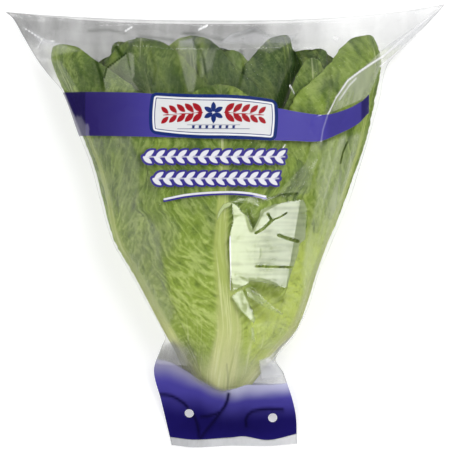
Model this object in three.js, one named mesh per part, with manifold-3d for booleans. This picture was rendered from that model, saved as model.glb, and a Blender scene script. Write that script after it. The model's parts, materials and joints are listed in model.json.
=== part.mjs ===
// A head of romaine lettuce in its clear film sleeve, lying on its side as it rests on a shelf.
// Millimetres, +Z up. The head's axis runs along Y: cut stem at -Y, leaf tips and the sleeve's mouth at +Y.
// The origin is the middle of the sleeve's footprint, on the surface that it rests on.
//
// The head is a short stem, three whorls of five leaves each and a fused heart. A whorl is one layer of
// a flattened cone, so whorls nest without crossing. In a whorl each leaf lies a little deeper than the
// one before it, and successive leaves stand 144 degrees apart, so margins overlap as on a real head.
// The sleeve is two film sheets stretched over the head, welded along both sides and across the foot.
import * as THREE from "three";
import { mergeVertices } from "three/addons/utils/BufferGeometryUtils.js";
import Module from "manifold-3d";

const wasm = await Module();
wasm.setup();

// ---- driving dimensions, mm ----

// Each whorl: how deep it lies, as a share of the head's section; the angle of its first leaf from the
// top, in degrees; its leaves' half width, base, tips and rib height; and how thin a rib is in plan.
// A leaf's cells are the strips across and along its blade.
const WHORLS = [
  {
    depth: 0,
    firstAngle: 2,
    halfWidth: 76,
    base: -144.5,
    tips: [118, 150, 153, 155, 146],
    rib: 3.6,
    ribWidth: 1,
    cells: [8, 18],
    colour: 0x5f8a37,
  },
  {
    depth: 0.23,
    firstAngle: 40,
    halfWidth: 62,
    base: -136,
    tips: [141, 152, 158, 150, 156],
    rib: 2.8,
    ribWidth: 0.82,
    cells: [8, 18],
    colour: 0x6f9a3f,
  },
  {
    depth: 0.44,
    firstAngle: -12,
    halfWidth: 50,
    base: -124,
    tips: [160, 153, 159, 157, 151],
    rib: 2.4,
    ribWidth: 0.64,
    cells: [6, 12],
    colour: 0x8fb552,
  },
];
const HEART = {
  depth: 0.66,
  firstAngle: 20,
  halfWidth: 34,
  base: -112,
  tips: [148, 141, 150, 138, 130],
  rib: 1.6,
  ribWidth: 0.5,
  cells: [6, 9],
  coreTip: 93,
};
const LEAF = {
  perWhorl: 5,
  turn: 144, // degrees from each leaf of a whorl to the next
  step: 0.033, // how much deeper each leaf lies than the one before, as a share of the section
  angleJitter: 4, // degrees
  widthJitter: 0.05, // share of the half width
  blade: 1, // thickness
  spread: { base: 29, blade: 53 }, // furthest that a margin reaches round the section, in degrees
  waves: 38, // radians of margin wave from base to tip
  ruffle: 0.7, // height of those waves
  scallop: 0.05, // how far they draw the margin in and out, as a share of the half width
  cup: 2.4, // how far the margin turns in towards the tip
  swell: 1.3, // height of the broad waves that nested leaves share
};
const STEM_RINGS = [-147, -145.5, -141, -135, -129, -123, -119, -116];
const STEM_SIDES = 20;
const CORE_RINGS = 12;
const CORE_SIDES = 12;

const SLEEVE = {
  film: 0.8, // thicker than life, so that the sleeve is a solid
  sideWeld: { height: 1.6, width: 1.5 },
  footWeld: 12,
  foot: -189,
  mouth: 172.5, // the mouth's edge on the centre line
  halfMouth: 188.5,
  mouthRise: { left: 10, right: 16.5 }, // how much further its two corners reach
  mouthDrop: 9, // how much closer the sheets come together there, each way
  room: { head: 4.2, ribs: 1.2, sides: 2.6 }, // over the head, more over the ribs' foot, less at the sides
  sag: 2.2, // how far the lower sheet would hang past the surface that flattens it
  cells: 16,
  vents: [
    [-30.6, -161],
    [40.8, -165],
  ],
  ventRadius: 4,
};
const SLEEVE_ROWS = [
  -181, -173, -165, -157, -148, -138, -126, -113, -103, -94, -80, -63, -44, -22, 2, 28, 54, 80, 104, 120,
  130, 139, 148, 156, 165, 172.5,
];

// ---- curves along Y ----

// A smooth curve through [y, value] points, level with its end values outside them.
function profile(points) {
  const slope = (i) => {
    const a = points[Math.max(0, i - 1)];
    const b = points[Math.min(points.length - 1, i + 1)];
    return (b[1] - a[1]) / (b[0] - a[0]);
  };
  return (y) => {
    if (y <= points[0][0]) return points[0][1];
    if (y >= points.at(-1)[0]) return points.at(-1)[1];
    const i = points.findIndex((p) => p[0] > y) - 1;
    const [y0, a] = points[i];
    const [y1, b] = points[i + 1];
    const h = y1 - y0;
    const t = (y - y0) / h;
    const t2 = t * t;
    const t3 = t2 * t;
    return (
      (2 * t3 - 3 * t2 + 1) * a +
      (t3 - 2 * t2 + t) * h * slope(i) +
      (3 * t2 - 2 * t3) * b +
      (t3 - t2) * h * slope(i + 1)
    );
  };
}

// 0 below low, 1 above high and a soft step between.
function smooth(low, high, x) {
  const t = Math.min(1, Math.max(0, (x - low) / (high - low)));
  return t * t * (3 - 2 * t);
}

const radians = (degrees) => (degrees * Math.PI) / 180;

// The sleeve's side seams in plan, and their height.
const sleeveLeft = profile([
  [-189, -46],
  [-150, -55],
  [-124, -61],
  [-104, -54.5],
  [-94, -51.5],
  [-63, -68.5],
  [-36, -83.5],
  [-13, -96],
  [22, -106.5],
  [50, -114],
  [77, -124.5],
  [113, -138.5],
  [125, -149.5],
  [137.5, -160.5],
  [155, -173],
  [168, -182],
  [172.5, -188.5],
]);
const sleeveRight = profile([
  [-189, 62],
  [-160, 60.5],
  [-127, 50.5],
  [-113, 43.5],
  [-94, 58.7],
  [-68, 71.8],
  [-43, 79.2],
  [-19, 89.3],
  [22, 106.3],
  [50, 115],
  [77, 123.3],
  [107, 131.8],
  [126, 136],
  [136, 141.5],
  [146.7, 156],
  [161, 175],
  [168.6, 184.5],
  [172.5, 188.5],
]);
const seamHeight = profile([
  [-189, 1.9],
  [-178, 2.2],
  [-168, 4],
  [-150, 9],
  [-124, 16],
  [-96, 29],
  [-63, 38],
  [0, 41],
  [77, 38],
  [113, 32],
  [140, 22],
  [172.5, 9],
]);

// The outermost leaf layer, an ellipse in each XZ section: its sides in plan, half height and underside.
const headLeft = profile([
  [-146, -15],
  [-141, -20.5],
  [-135.6, -24.5],
  [-122.8, -32],
  [-106, -40],
  [-89, -50],
  [-63, -64.5],
  [-36, -79.5],
  [-13, -92],
  [22, -102.5],
  [50, -110],
  [77, -120.5],
  [113, -134.5],
  [140, -145],
  [160, -143],
]);
const headRight = profile([
  [-146, 11],
  [-141, 15.5],
  [-135.6, 19.5],
  [-122.8, 30],
  [-106, 43],
  [-89, 58],
  [-63, 69],
  [-36, 78],
  [-13, 87.5],
  [22, 102.3],
  [50, 111],
  [77, 119.3],
  [107, 127.8],
  [140, 132],
  [160, 128],
]);
const headDepth = profile([
  [-146, 13],
  [-141, 16],
  [-135, 19.5],
  [-122, 25],
  [-105, 30.5],
  [-88, 34.5],
  [-63, 38.5],
  [-36, 41],
  [0, 42],
  [50, 41],
  [100, 37.5],
  [130, 34.5],
  [160, 30],
]);
const headLow = profile([
  [-146, 15],
  [-135, 12],
  [-122, 9.5],
  [-105, 7],
  [-88, 5],
  [-63, 3.2],
  [-36, 2.2],
  [0, 2],
  [50, 2],
  [100, 2.6],
  [130, 3.6],
  [160, 5],
]);
const stemRadius = profile([
  [-147, 9.5],
  [-145, 11],
  [-140, 12.5],
  [-130, 12],
  [-122, 10.2],
  [-116, 5],
]);

// The sleeve's tail below the stem: half height, middle and half width of the space that it holds.
const tailDepth = profile([
  [-189, 0.9],
  [-178, 1.3],
  [-168, 6],
  [-158, 12],
  [-148, 17.5],
  [-141, 22],
]);
const tailMiddle = profile([
  [-189, 1.9],
  [-178, 2.4],
  [-168, 9],
  [-158, 18],
  [-148, 25.5],
  [-141, 29.8],
]);
const tailHalf = profile([
  [-189, 44],
  [-178, 40],
  [-168, 32],
  [-158, 25],
  [-148, 22],
  [-141, 23],
]);

function section(y) {
  const left = headLeft(y);
  const right = headRight(y);
  const depth = headDepth(y);
  return { x: (left + right) / 2, z: headLow(y) + depth, a: (right - left) / 2, b: depth };
}

// ---- solids ----

// A closed solid between two grids of points, with the same triangles on both faces.
function slab(top, bottom) {
  const rows = top.length;
  const columns = top[0].length;
  const position = [...top.flat(), ...bottom.flat()].flat();
  const index = [];
  const at = (face, r, c) => face * rows * columns + r * columns + c;
  for (let r = 0; r + 1 < rows; r++)
    for (let c = 0; c + 1 < columns; c++) {
      const [p, q, s, t] = [at(0, r, c), at(0, r, c + 1), at(0, r + 1, c + 1), at(0, r + 1, c)];
      const n = rows * columns;
      index.push(p, q, s, p, s, t);
      index.push(p + n, s + n, q + n, p + n, t + n, s + n);
    }
  const edge = [];
  for (let c = 0; c + 1 < columns; c++) edge.push([0, c]);
  for (let r = 0; r + 1 < rows; r++) edge.push([r, columns - 1]);
  for (let c = columns - 1; c > 0; c--) edge.push([rows - 1, c]);
  for (let r = rows - 1; r > 0; r--) edge.push([r, 0]);
  edge.forEach(([r, c], i) => {
    const [r2, c2] = edge[(i + 1) % edge.length];
    index.push(at(0, r, c), at(1, r, c), at(1, r2, c2));
    index.push(at(0, r, c), at(1, r2, c2), at(0, r2, c2));
  });
  return new THREE.BufferGeometry()
    .setAttribute("position", new THREE.Float32BufferAttribute(position, 3))
    .setIndex(index);
}

// Rings of an ellipse along Y, closed at both ends.
function tube(rings, sides) {
  const position = [];
  const index = [];
  for (const { x, y, z, a, b } of rings)
    for (let k = 0; k < sides; k++) {
      const angle = (2 * Math.PI * k) / sides;
      position.push(x + a * Math.sin(angle), y, z + b * Math.cos(angle));
    }
  for (let r = 0; r + 1 < rings.length; r++)
    for (let k = 0; k < sides; k++) {
      const next = (k + 1) % sides;
      const [p, q, s, t] = [r * sides + k, r * sides + next, (r + 1) * sides + next, (r + 1) * sides + k];
      index.push(p, q, s, p, s, t);
    }
  const last = (rings.length - 1) * sides;
  for (let k = 1; k + 1 < sides; k++) {
    index.push(0, k + 1, k);
    index.push(last, last + k, last + k + 1);
  }
  return new THREE.BufferGeometry()
    .setAttribute("position", new THREE.Float32BufferAttribute(position, 3))
    .setIndex(index);
}

function solidOf(geometry) {
  const bare = geometry.clone();
  bare.deleteAttribute("normal");
  bare.deleteAttribute("uv");
  const merged = mergeVertices(bare, 1e-4);
  return new wasm.Manifold(
    new wasm.Mesh({
      numProp: 3,
      vertProperties: merged.attributes.position.array,
      triVerts: new Uint32Array(merged.index.array),
    }),
  );
}

function geometryOf(solid) {
  const mesh = solid.getMesh();
  return new THREE.BufferGeometry()
    .setAttribute("position", new THREE.BufferAttribute(mesh.vertProperties, 3))
    .setIndex(new THREE.BufferAttribute(mesh.triVerts, 1));
}

// ---- leaves ----

// Park and Miller's generator, from -1 to 1, so that every run draws the same numbers.
function draws(seed) {
  let state = seed;
  return () => {
    state = (state * 16807) % 2147483647;
    return (state / 2147483647) * 2 - 1;
  };
}

// Along a leaf, from base 0 to tip 1: its half width and rib height as shares of their largest values,
// and the rib's half width in millimetres.
const leafOutline = profile([
  [0, 0.14],
  [0.1, 0.24],
  [0.25, 0.48],
  [0.45, 0.8],
  [0.6, 0.97],
  [0.7, 1],
  [0.8, 0.92],
  [0.88, 0.74],
  [0.94, 0.52],
  [0.98, 0.3],
  [1, 0.1],
]);
const ribHeight = profile([
  [0, 0.55],
  [0.08, 1],
  [0.3, 0.75],
  [0.6, 0.36],
  [0.9, 0.08],
  [1, 0],
]);
const ribHalfWidth = profile([
  [0, 8],
  [0.08, 12],
  [0.2, 9],
  [0.45, 5.5],
  [0.7, 3.5],
  [1, 2],
]);

// Cells are shorter towards the tip, and narrower towards the rib.
const alongLeaf = (share) => 1 - (1 - share) ** 1.25;
const acrossLeaf = (share) => Math.sign(share) * Math.abs(share) ** 1.3;

// Angle reached by going a given arc length from a start angle round the section's ellipse.
function turnFor(length, start, side, a, b, limit) {
  const step = radians(1.5);
  let angle = 0;
  let gone = 0;
  while (gone < length && angle < limit) {
    const at = start + side * (angle + step / 2);
    gone += Math.hypot(a * Math.cos(at), b * Math.sin(at)) * step;
    angle += step;
  }
  return Math.min(angle, limit);
}

// Broad waves over the head's upper side, which all layers share.
function swell(angle, y) {
  const waves = Math.sin(3 * angle + y / 21) + 0.7 * Math.sin(y / 13 - 2 * angle);
  return LEAF.swell * smooth(-90, 20, y) * (0.5 + 0.5 * Math.cos(angle)) * waves;
}

// One row of points across a leaf's outer and inner face.
function leafRow(leaf, v) {
  const y = leaf.base + (leaf.tip - leaf.base) * v;
  const { x, z, a, b } = section(y);
  const layer = 1 - leaf.depth - leaf.order * LEAF.step * smooth(-138, -112, y);
  const { base, blade } = LEAF.spread;
  const limit = radians(base + (blade - base) * smooth(-120, -60, y));
  const wavy = smooth(0.35, 0.6, v);
  const half = leaf.halfWidth * leafOutline(v);
  const rib = leaf.rib * ribHeight(v);
  const ribReach = leaf.ribWidth * ribHalfWidth(v);
  const [left, right] = [-1, 1].map((side) => {
    const wave = Math.sin(LEAF.waves * v + side * 1.3 + leaf.phase);
    return turnFor(half * (1 + LEAF.scallop * wavy * wave), leaf.angle, side, a * layer, b * layer, limit);
  });
  const [across] = leaf.cells;
  const outer = [];
  const inner = [];
  for (let c = 0; c <= across; c++) {
    const u = acrossLeaf((2 * c) / across - 1);
    const angle = leaf.angle + u * (u < 0 ? left : right);
    const bulge = rib * Math.exp(-(((u * half) / ribReach) ** 2));
    const ruffle = LEAF.ruffle * wavy * u ** 4 * Math.sin(LEAF.waves * v + 2 * u + leaf.phase);
    const cup = LEAF.cup * smooth(0.7, 1, v) * u * u;
    const middle = swell(angle, y) + ruffle - cup;
    const nx = Math.sin(angle) / a;
    const nz = Math.cos(angle) / b;
    const n = Math.hypot(nx, nz);
    const place = (out) => [
      x + a * layer * Math.sin(angle) + (nx / n) * out,
      y,
      z + b * layer * Math.cos(angle) + (nz / n) * out,
    ];
    outer.push(place(middle + LEAF.blade / 2 + bulge));
    inner.push(place(middle - LEAF.blade / 2));
  }
  return { outer, inner };
}

function leafGeometry(leaf) {
  const [, along] = leaf.cells;
  const rows = Array.from({ length: along + 1 }, (_, r) => leafRow(leaf, alongLeaf(r / along)));
  return slab(
    rows.map((row) => row.outer),
    rows.map((row) => row.inner),
  );
}

function whorlLeaves(whorl, random) {
  return Array.from({ length: LEAF.perWhorl }, (_, order) => ({
    ...whorl,
    order,
    angle: radians(whorl.firstAngle + order * LEAF.turn + LEAF.angleJitter * random()),
    halfWidth: whorl.halfWidth * (1 + LEAF.widthJitter * random()),
    tip: whorl.tips[order],
    phase: 3 * random(),
  }));
}

// ---- heart and stem ----

// A slim core that swells at its foot to meet the heart's leaves.
function coreGeometry() {
  const rings = Array.from({ length: CORE_RINGS + 1 }, (_, i) => {
    const t = i / CORE_RINGS;
    const y = HEART.base - 2 + (HEART.coreTip - HEART.base + 2) * t;
    const share = (1 - HEART.depth) * (1 - 0.65 * smooth(0, 0.25, t)) * (1 - 0.9 * t ** 4);
    const { x, z, a, b } = section(y);
    return { x, y, z, a: a * share, b: b * share };
  });
  return tube(rings, CORE_SIDES);
}

function heartGeometry(random) {
  const leaves = whorlLeaves(HEART, random).map((leaf) => solidOf(leafGeometry(leaf)));
  return geometryOf(leaves.reduce((joined, leaf) => joined.add(leaf), solidOf(coreGeometry())));
}

function stemGeometry() {
  const rings = STEM_RINGS.map((y) => {
    const { x, z } = section(y);
    return { x, y, z, a: stemRadius(y), b: stemRadius(y) };
  });
  return tube(rings, STEM_SIDES);
}

// ---- sleeve ----

// The ellipse that the film is stretched over: the tail's own, then the head's with some room.
function filled(y) {
  const { room, mouth, mouthDrop } = SLEEVE;
  const head = section(y);
  const over = room.head + room.ribs * (1 - smooth(-80, 0, y));
  const drop = mouthDrop * smooth(146, mouth, y);
  const share = smooth(-148, -136, y);
  const blend = (tail, full) => tail + (full - tail) * share;
  return {
    x: head.x,
    z: blend(tailMiddle(y), head.z + 0.4 - drop),
    a: blend(tailHalf(y), head.a + over - room.sides * smooth(-90, -30, y)),
    b: blend(tailDepth(y), head.b + over - drop),
  };
}

// Height at x of the upper (side 1) or lower (side -1) sheet: over the ellipse, then straight to the seam.
function sheetHeight(x, core, seamX, seamZ, side) {
  const { a, b } = core;
  const px = Math.abs(seamX - core.x);
  const pz = side * (seamZ - core.z);
  const dx = Math.abs(x - core.x);
  const reach = Math.hypot(px / a, pz / b);
  const t = Math.atan2(px / a, pz / b) - Math.acos(Math.min(1, 1 / reach));
  const touchX = a * Math.sin(t);
  const touchZ = b * Math.cos(t);
  const onEllipse = b * Math.sqrt(Math.max(0, 1 - (dx / a) ** 2));
  const onLine = touchZ + ((pz - touchZ) * (dx - touchX)) / (px - touchX);
  return core.z + side * (dx <= touchX ? onEllipse : onLine);
}

// One row of points across both sheets, `inside` mm within the sleeve's outer face.
function sleeveRow(row, inside) {
  const { film, sideWeld, halfMouth, mouth, mouthRise, sag, cells } = SLEEVE;
  const core = filled(row);
  const left = sleeveLeft(row) + (inside ? sideWeld.width : 0);
  const right = sleeveRight(row) - (inside ? sideWeld.width : 0);
  core.a = Math.min(core.a + film - inside, core.x - left - 0.2, right - core.x - 0.2);
  core.b += film - inside;
  const seamZ = seamHeight(row);
  const halfSeam = inside ? 0.25 : sideWeld.height / 2;
  const hang = sag * smooth(-80, -50, row) * (1 - smooth(150, 170, row));
  const upper = [];
  const under = [];
  for (let c = 0; c <= cells; c++) {
    const u = (2 * c) / cells - 1;
    const share = 0.5 * u + 0.5 * Math.sin((Math.PI / 2) * u);
    const x = (left + right) / 2 + (share * (right - left)) / 2;
    const rise = (x < 0 ? mouthRise.left : mouthRise.right) * Math.abs(x / halfMouth) ** 2.4;
    const y = row + rise * smooth(100, mouth, row);
    const seamX = x < core.x ? left : right;
    const high = sheetHeight(x, core, seamX, seamZ, 1);
    const low = sheetHeight(x, core, seamX, seamZ, -1) - hang;
    upper.push([x, y, Math.max(high, seamZ + halfSeam)]);
    under.push([x, y, Math.max(inside, Math.min(low, seamZ - halfSeam))]);
  }
  return { upper, under };
}

function sleeveSpace(rows, inside) {
  const points = rows.map((row) => sleeveRow(row, inside));
  return solidOf(
    slab(
      points.map((row) => row.upper),
      points.map((row) => row.under),
    ),
  );
}

function sleeveGeometry() {
  const { film, foot, footWeld, mouth, vents, ventRadius } = SLEEVE;
  const outer = sleeveSpace([foot, ...SLEEVE_ROWS], 0);
  // The inner space stops short of the foot's weld and runs on past the mouth, which it opens.
  const clear = SLEEVE_ROWS.filter((y) => y > foot + footWeld + 1);
  const inner = sleeveSpace([foot + footWeld, ...clear, mouth + 6], film);
  let sleeve = outer.subtract(inner);
  for (const [x, y] of vents) {
    const drill = new THREE.CylinderGeometry(ventRadius, ventRadius, 120, 16).rotateX(Math.PI / 2);
    sleeve = sleeve.subtract(solidOf(drill.translate(x, y, 0)));
  }
  return geometryOf(sleeve);
}

// ---- the part ----

const part = new THREE.Group();

function addPiece(name, geometry, colour, roughness, look = {}) {
  const material = new THREE.MeshStandardMaterial({ color: colour, roughness, metalness: 0, ...look });
  const mesh = new THREE.Mesh(geometry, material);
  mesh.name = name;
  part.add(mesh);
}

const random = draws(20417);
WHORLS.forEach((whorl, w) => {
  for (const leaf of whorlLeaves(whorl, random))
    addPiece(`leaf_${w + 1}_${leaf.order + 1}`, leafGeometry(leaf), whorl.colour, 0.5);
});
addPiece("heart", heartGeometry(random), 0xc3d685, 0.5);
addPiece("stem", stemGeometry(), 0xe3e2b4, 0.6);
addPiece("film_sleeve", sleeveGeometry(), 0xdfe1e6, 0.15, { transparent: true, opacity: 0.35 });

export default part;
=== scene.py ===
import json
import math
import bpy
import numpy as np
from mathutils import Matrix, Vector
from mathutils.geometry import delaunay_2d_cdt

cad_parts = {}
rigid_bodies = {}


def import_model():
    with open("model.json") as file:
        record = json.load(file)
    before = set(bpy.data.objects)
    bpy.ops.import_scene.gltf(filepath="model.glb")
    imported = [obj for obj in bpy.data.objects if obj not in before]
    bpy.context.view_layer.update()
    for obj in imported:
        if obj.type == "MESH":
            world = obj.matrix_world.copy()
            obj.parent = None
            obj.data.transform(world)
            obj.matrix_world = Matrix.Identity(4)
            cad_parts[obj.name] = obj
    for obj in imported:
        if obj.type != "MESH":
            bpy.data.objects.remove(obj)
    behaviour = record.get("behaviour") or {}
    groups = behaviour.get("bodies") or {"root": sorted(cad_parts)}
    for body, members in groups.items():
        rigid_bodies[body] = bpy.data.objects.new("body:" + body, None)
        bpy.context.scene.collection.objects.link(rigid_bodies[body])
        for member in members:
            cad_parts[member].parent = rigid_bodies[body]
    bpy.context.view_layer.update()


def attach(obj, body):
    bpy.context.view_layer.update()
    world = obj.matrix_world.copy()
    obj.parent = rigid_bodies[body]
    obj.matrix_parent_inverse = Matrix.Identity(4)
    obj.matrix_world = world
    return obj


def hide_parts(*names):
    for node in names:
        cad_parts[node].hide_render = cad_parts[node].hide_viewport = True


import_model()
print("frame loaded")

# Shapes are worked out in millimetres, as in the part's source, and scaled by this at the end.
metre = 0.001


def curve(points):
    # A smooth curve through [place, value] points, level outside them.
    place, value = np.array(points, float).T
    index = np.arange(len(place))
    before, after = np.maximum(index - 1, 0), np.minimum(index + 1, len(place) - 1)
    slope = (value[after] - value[before]) / (place[after] - place[before])

    def at(y):
        y = np.clip(y, place[0], place[-1])
        i = np.clip(np.searchsorted(place, y, side="right") - 1, 0, len(place) - 2)
        h = place[i + 1] - place[i]
        t = (y - place[i]) / h
        start = (2 * t**3 - 3 * t**2 + 1) * value[i] + (t**3 - 2 * t**2 + t) * h * slope[i]
        return start + (3 * t**2 - 2 * t**3) * value[i + 1] + (t**3 - t**2) * h * slope[i + 1]

    return at


def smooth(low, high, x):
    t = np.clip((x - low) / (high - low), 0, 1)
    return t * t * (3 - 2 * t)


def bell(x, width):
    return np.exp(-((x / width) ** 2))


def noise(x, y, seed):
    # Gradient noise, about -1 to 1, with features one unit across. It repeats after 64 units.
    period = 64
    angle = np.random.default_rng(seed).random((period, period)) * 2 * np.pi
    column, row = np.floor(x).astype(int), np.floor(y).astype(int)
    fx, fy = x - column, y - row

    def corner(dx, dy):
        turn = angle[(column + dx) % period, (row + dy) % period]
        return np.cos(turn) * (fx - dx) + np.sin(turn) * (fy - dy)

    u, v = fx**3 * (fx * (fx * 6 - 15) + 10), fy**3 * (fy * (fy * 6 - 15) + 10)
    low = corner(0, 0) * (1 - u) + corner(1, 0) * u
    high = corner(0, 1) * (1 - u) + corner(1, 1) * u
    return 1.5 * (low * (1 - v) + high * v)


def layeredNoise(x, y, seed):
    # Three layers of noise, each with half the size and strength of the one before.
    return sum(noise(x * 2**k + 7 * k, y * 2**k + 3 * k, seed + k) / 2**k for k in range(3))


def ripple(across, along, size, seed):
    # Noise with features of this size, in millimetres.
    return noise(across / size[0], along / size[1], seed)


def meshPiece(name, points, faces, values, material):
    # A smooth-shaded mesh from points in millimetres, with one number of each kind in values at each point.
    mesh = bpy.data.meshes.new(name)
    mesh.vertices.add(len(points))
    mesh.vertices.foreach_set("co", (np.asarray(points) * metre).astype(np.float32).ravel())
    corners = np.asarray(faces, np.int32)
    mesh.loops.add(corners.size)
    mesh.loops.foreach_set("vertex_index", corners.ravel())
    mesh.polygons.add(len(corners))
    mesh.polygons.foreach_set("loop_start", np.arange(len(corners), dtype=np.int32) * corners.shape[1])
    mesh.polygons.foreach_set("use_smooth", np.ones(len(corners), bool))
    mesh.update(calc_edges=True)
    for label, numbers in values.items():
        layer = mesh.attributes.new(label, "FLOAT", "POINT")
        layer.data.foreach_set("value", np.asarray(numbers, np.float32).ravel())
    mesh.materials.append(material)
    piece = bpy.data.objects.new(name, mesh)
    bpy.context.collection.objects.link(piece)
    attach(piece, "root")
    return piece


def gridFaces(rows, columns, start=0):
    at = start + np.arange(rows * columns).reshape(rows, columns)
    return np.stack([at[:-1, :-1], at[:-1, 1:], at[1:, 1:], at[1:, :-1]], -1).reshape(-1, 4)


class Shade:
    # A socket of a material. Sums and products of shades add their Math nodes.
    def __init__(self, tree, socket=None):
        self.tree = tree
        self.socket = socket

    def node(self, kind, settings=None, inputs=None, output=0):
        made = self.tree.nodes.new("ShaderNode" + kind)
        for name, value in (settings or {}).items():
            setattr(made, name, value)
        for name, value in (inputs or {}).items():
            if isinstance(value, Shade):
                self.tree.links.new(value.socket, made.inputs[name])
            else:
                setSocket(made.inputs[name], value)
        return Shade(self.tree, made.outputs[output])

    def maths(self, operation, *values):
        return self.node("Math", {"operation": operation}, dict(enumerate(values)))

    def __add__(self, other):
        return self.maths("ADD", self, other)

    def __sub__(self, other):
        return self.maths("SUBTRACT", self, other)

    def __rsub__(self, other):
        return self.maths("SUBTRACT", other, self)

    def __mul__(self, other):
        return self.maths("MULTIPLY", self, other)

    __radd__ = __add__
    __rmul__ = __mul__

    def step(self, low, high):
        # 0 at low, 1 at high, and a soft step between; low may be the larger.
        return self.node("MapRange", {"interpolation_type": "SMOOTHSTEP"}, {0: self, 1: low, 2: high})

    def blend(self, other, share):
        # This colour, turning to the other as share goes from 0 to 1.
        return self.node("Mix", {"data_type": "RGBA"}, {0: share, 6: self, 7: other}, output=2)

    def colour(self, *rgb):
        made = self.node("RGB")
        setSocket(made.socket, rgb)
        return made

    def value(self, name):
        return self.node("Attribute", {"attribute_name": name}, output="Fac")

    def largest(self, *others):
        found = self
        for other in others:
            found = self.maths("MAXIMUM", found, other)
        return found

    def place(self, x, y, z):
        return self.node("CombineXYZ", {}, {0: x, 1: y, 2: z})

    def scaled(self, sizes):
        # This vector, with each of its parts multiplied.
        return self.node("VectorMath", {"operation": "MULTIPLY"}, {0: self, 1: sizes})

    def shifted(self, by, sizes):
        # This vector, moved by another that is first scaled.
        return self.node("VectorMath", {"operation": "MULTIPLY_ADD"}, {0: by, 1: sizes, 2: self})

    def spot(self):
        # The point on the piece, in metres.
        return self.node("TexCoord", output="Object")

    def part(self, axis):
        # One of a vector's three parts, 0 for x.
        return self.node("SeparateXYZ", {}, {0: self}, output=axis)

    def speckle(self, scale, detail, output=0):
        # Noise, about 0.5, over this vector.
        return self.node("TexNoise", {}, {"Vector": self, "Scale": scale, "Detail": detail}, output)

    def grainBump(self):
        # A fine relief of this height, in metres.
        return self.node("Bump", {}, {"Strength": 0.5, "Distance": 0.0006, "Height": self})


def setSocket(socket, value):
    colourLike = socket.type == "RGBA" and len(value) == 3
    socket.default_value = (*value, 1) if colourLike else value


def finish(name, fixed, build):
    # A Principled material: fixed sockets, then those that build returns for what varies.
    material = bpy.data.materials.new(name)
    material.use_nodes = True
    tree = material.node_tree
    shader = tree.nodes["Principled BSDF"]
    shade = Shade(tree)
    for socket, value in fixed.items():
        setSocket(shader.inputs[socket], value)
    for socket, link in build(shade).items():
        tree.links.new(link.socket, shader.inputs[socket])
    return material


studio = {
    "cameraHeight": 3.03,
    "cameraReach": 20,
    "sensor": 36,
    "frameWidth": 0.3825,  # what the frame takes in, at the height of the head's side seams
    "seamHeight": 0.03,
    "floor": {"Base Color": (0.6, 0.6, 0.6), "Roughness": 0.9, "Specular IOR Level": 0.1,
              "Emission Color": (1, 1, 1), "Emission Strength": 0.55},  # lit, so that shadows stay faint
    "floorReach": 3,
    "fill": (0.97, 0.98, 1.0),
    "fillUp": 0.12,  # strength straight up, so that level film doesn't turn milky
    "fillLevel": 0.55,  # and at the horizon
    "fillTurn": 0.75,  # how far up, as a sine, the strength has turned from one to the other
    # Name, degrees right of straight up, degrees towards the mouth, distance, size, power, what it lights.
    "boxes": [
        ("softBox", 24, 20, 1.7, (1.0, 1.0), 20, "diffuse"),
        ("fillBox", -38, -5, 1.7, (1.2, 1.2), 15, "diffuse"),
        ("glintBox", 21, -10, 1.5, (0.42, 0.32), 2.5, "glossy"),
        ("farStrip", 4, 56, 1.6, (1.2, 0.12), 3, "glossy"),
    ],
}


def makeCamera():
    lens = bpy.data.cameras.new("camera")
    lens.sensor_width = studio["sensor"]
    lens.lens = studio["sensor"] * (studio["cameraHeight"] - studio["seamHeight"]) / studio["frameWidth"]
    lens.clip_end = studio["cameraReach"]
    camera = bpy.data.objects.new("camera", lens)
    camera.location = (0, 0, studio["cameraHeight"])
    bpy.context.collection.objects.link(camera)
    bpy.context.scene.camera = camera


def makeFill():
    world = bpy.data.worlds.new("studioFill")
    world.use_nodes = True
    background = world.node_tree.nodes["Background"]
    setSocket(background.inputs["Color"], studio["fill"])
    sky = Shade(world.node_tree)
    up = sky.node("TexCoord", output="Generated").part(2)
    level = studio["fillLevel"]
    strength = level + (studio["fillUp"] - level) * up.step(0.0, studio["fillTurn"])
    world.node_tree.links.new(strength.socket, background.inputs["Strength"])
    world.cycles_visibility.glossy = False
    bpy.context.scene.world = world


def makeBoxes():
    for name, right, up, far, (width, height), power, lights in studio["boxes"]:
        light = bpy.data.lights.new(name, "AREA")
        light.shape, light.size, light.size_y, light.energy = "RECTANGLE", width, height, power
        lamp = bpy.data.objects.new(name, light)
        lamp.visible_diffuse, lamp.visible_glossy = lights == "diffuse", lights == "glossy"
        turn, lift = math.radians(right), math.radians(up)
        aim = Vector((math.sin(turn) * math.cos(lift), math.sin(lift), math.cos(turn) * math.cos(lift)))
        lamp.location = aim * far
        lamp.rotation_euler = aim.to_track_quat("Z", "Y").to_euler()
        bpy.context.collection.objects.link(lamp)


def makeFloor():
    far = studio["floorReach"]
    mesh = bpy.data.meshes.new("floor")
    mesh.from_pydata([(-far, -far, 0), (far, -far, 0), (far, far, 0), (-far, far, 0)], [], [(0, 1, 2, 3)])
    mesh.materials.append(finish("paleFloor", studio["floor"], lambda shade: {}))
    floor = bpy.data.objects.new("floor", mesh)
    bpy.context.collection.objects.link(floor)


bpy.context.scene.view_settings.view_transform = "Standard"
makeCamera()
makeFill()
makeBoxes()
makeFloor()
print("studio made")

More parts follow.
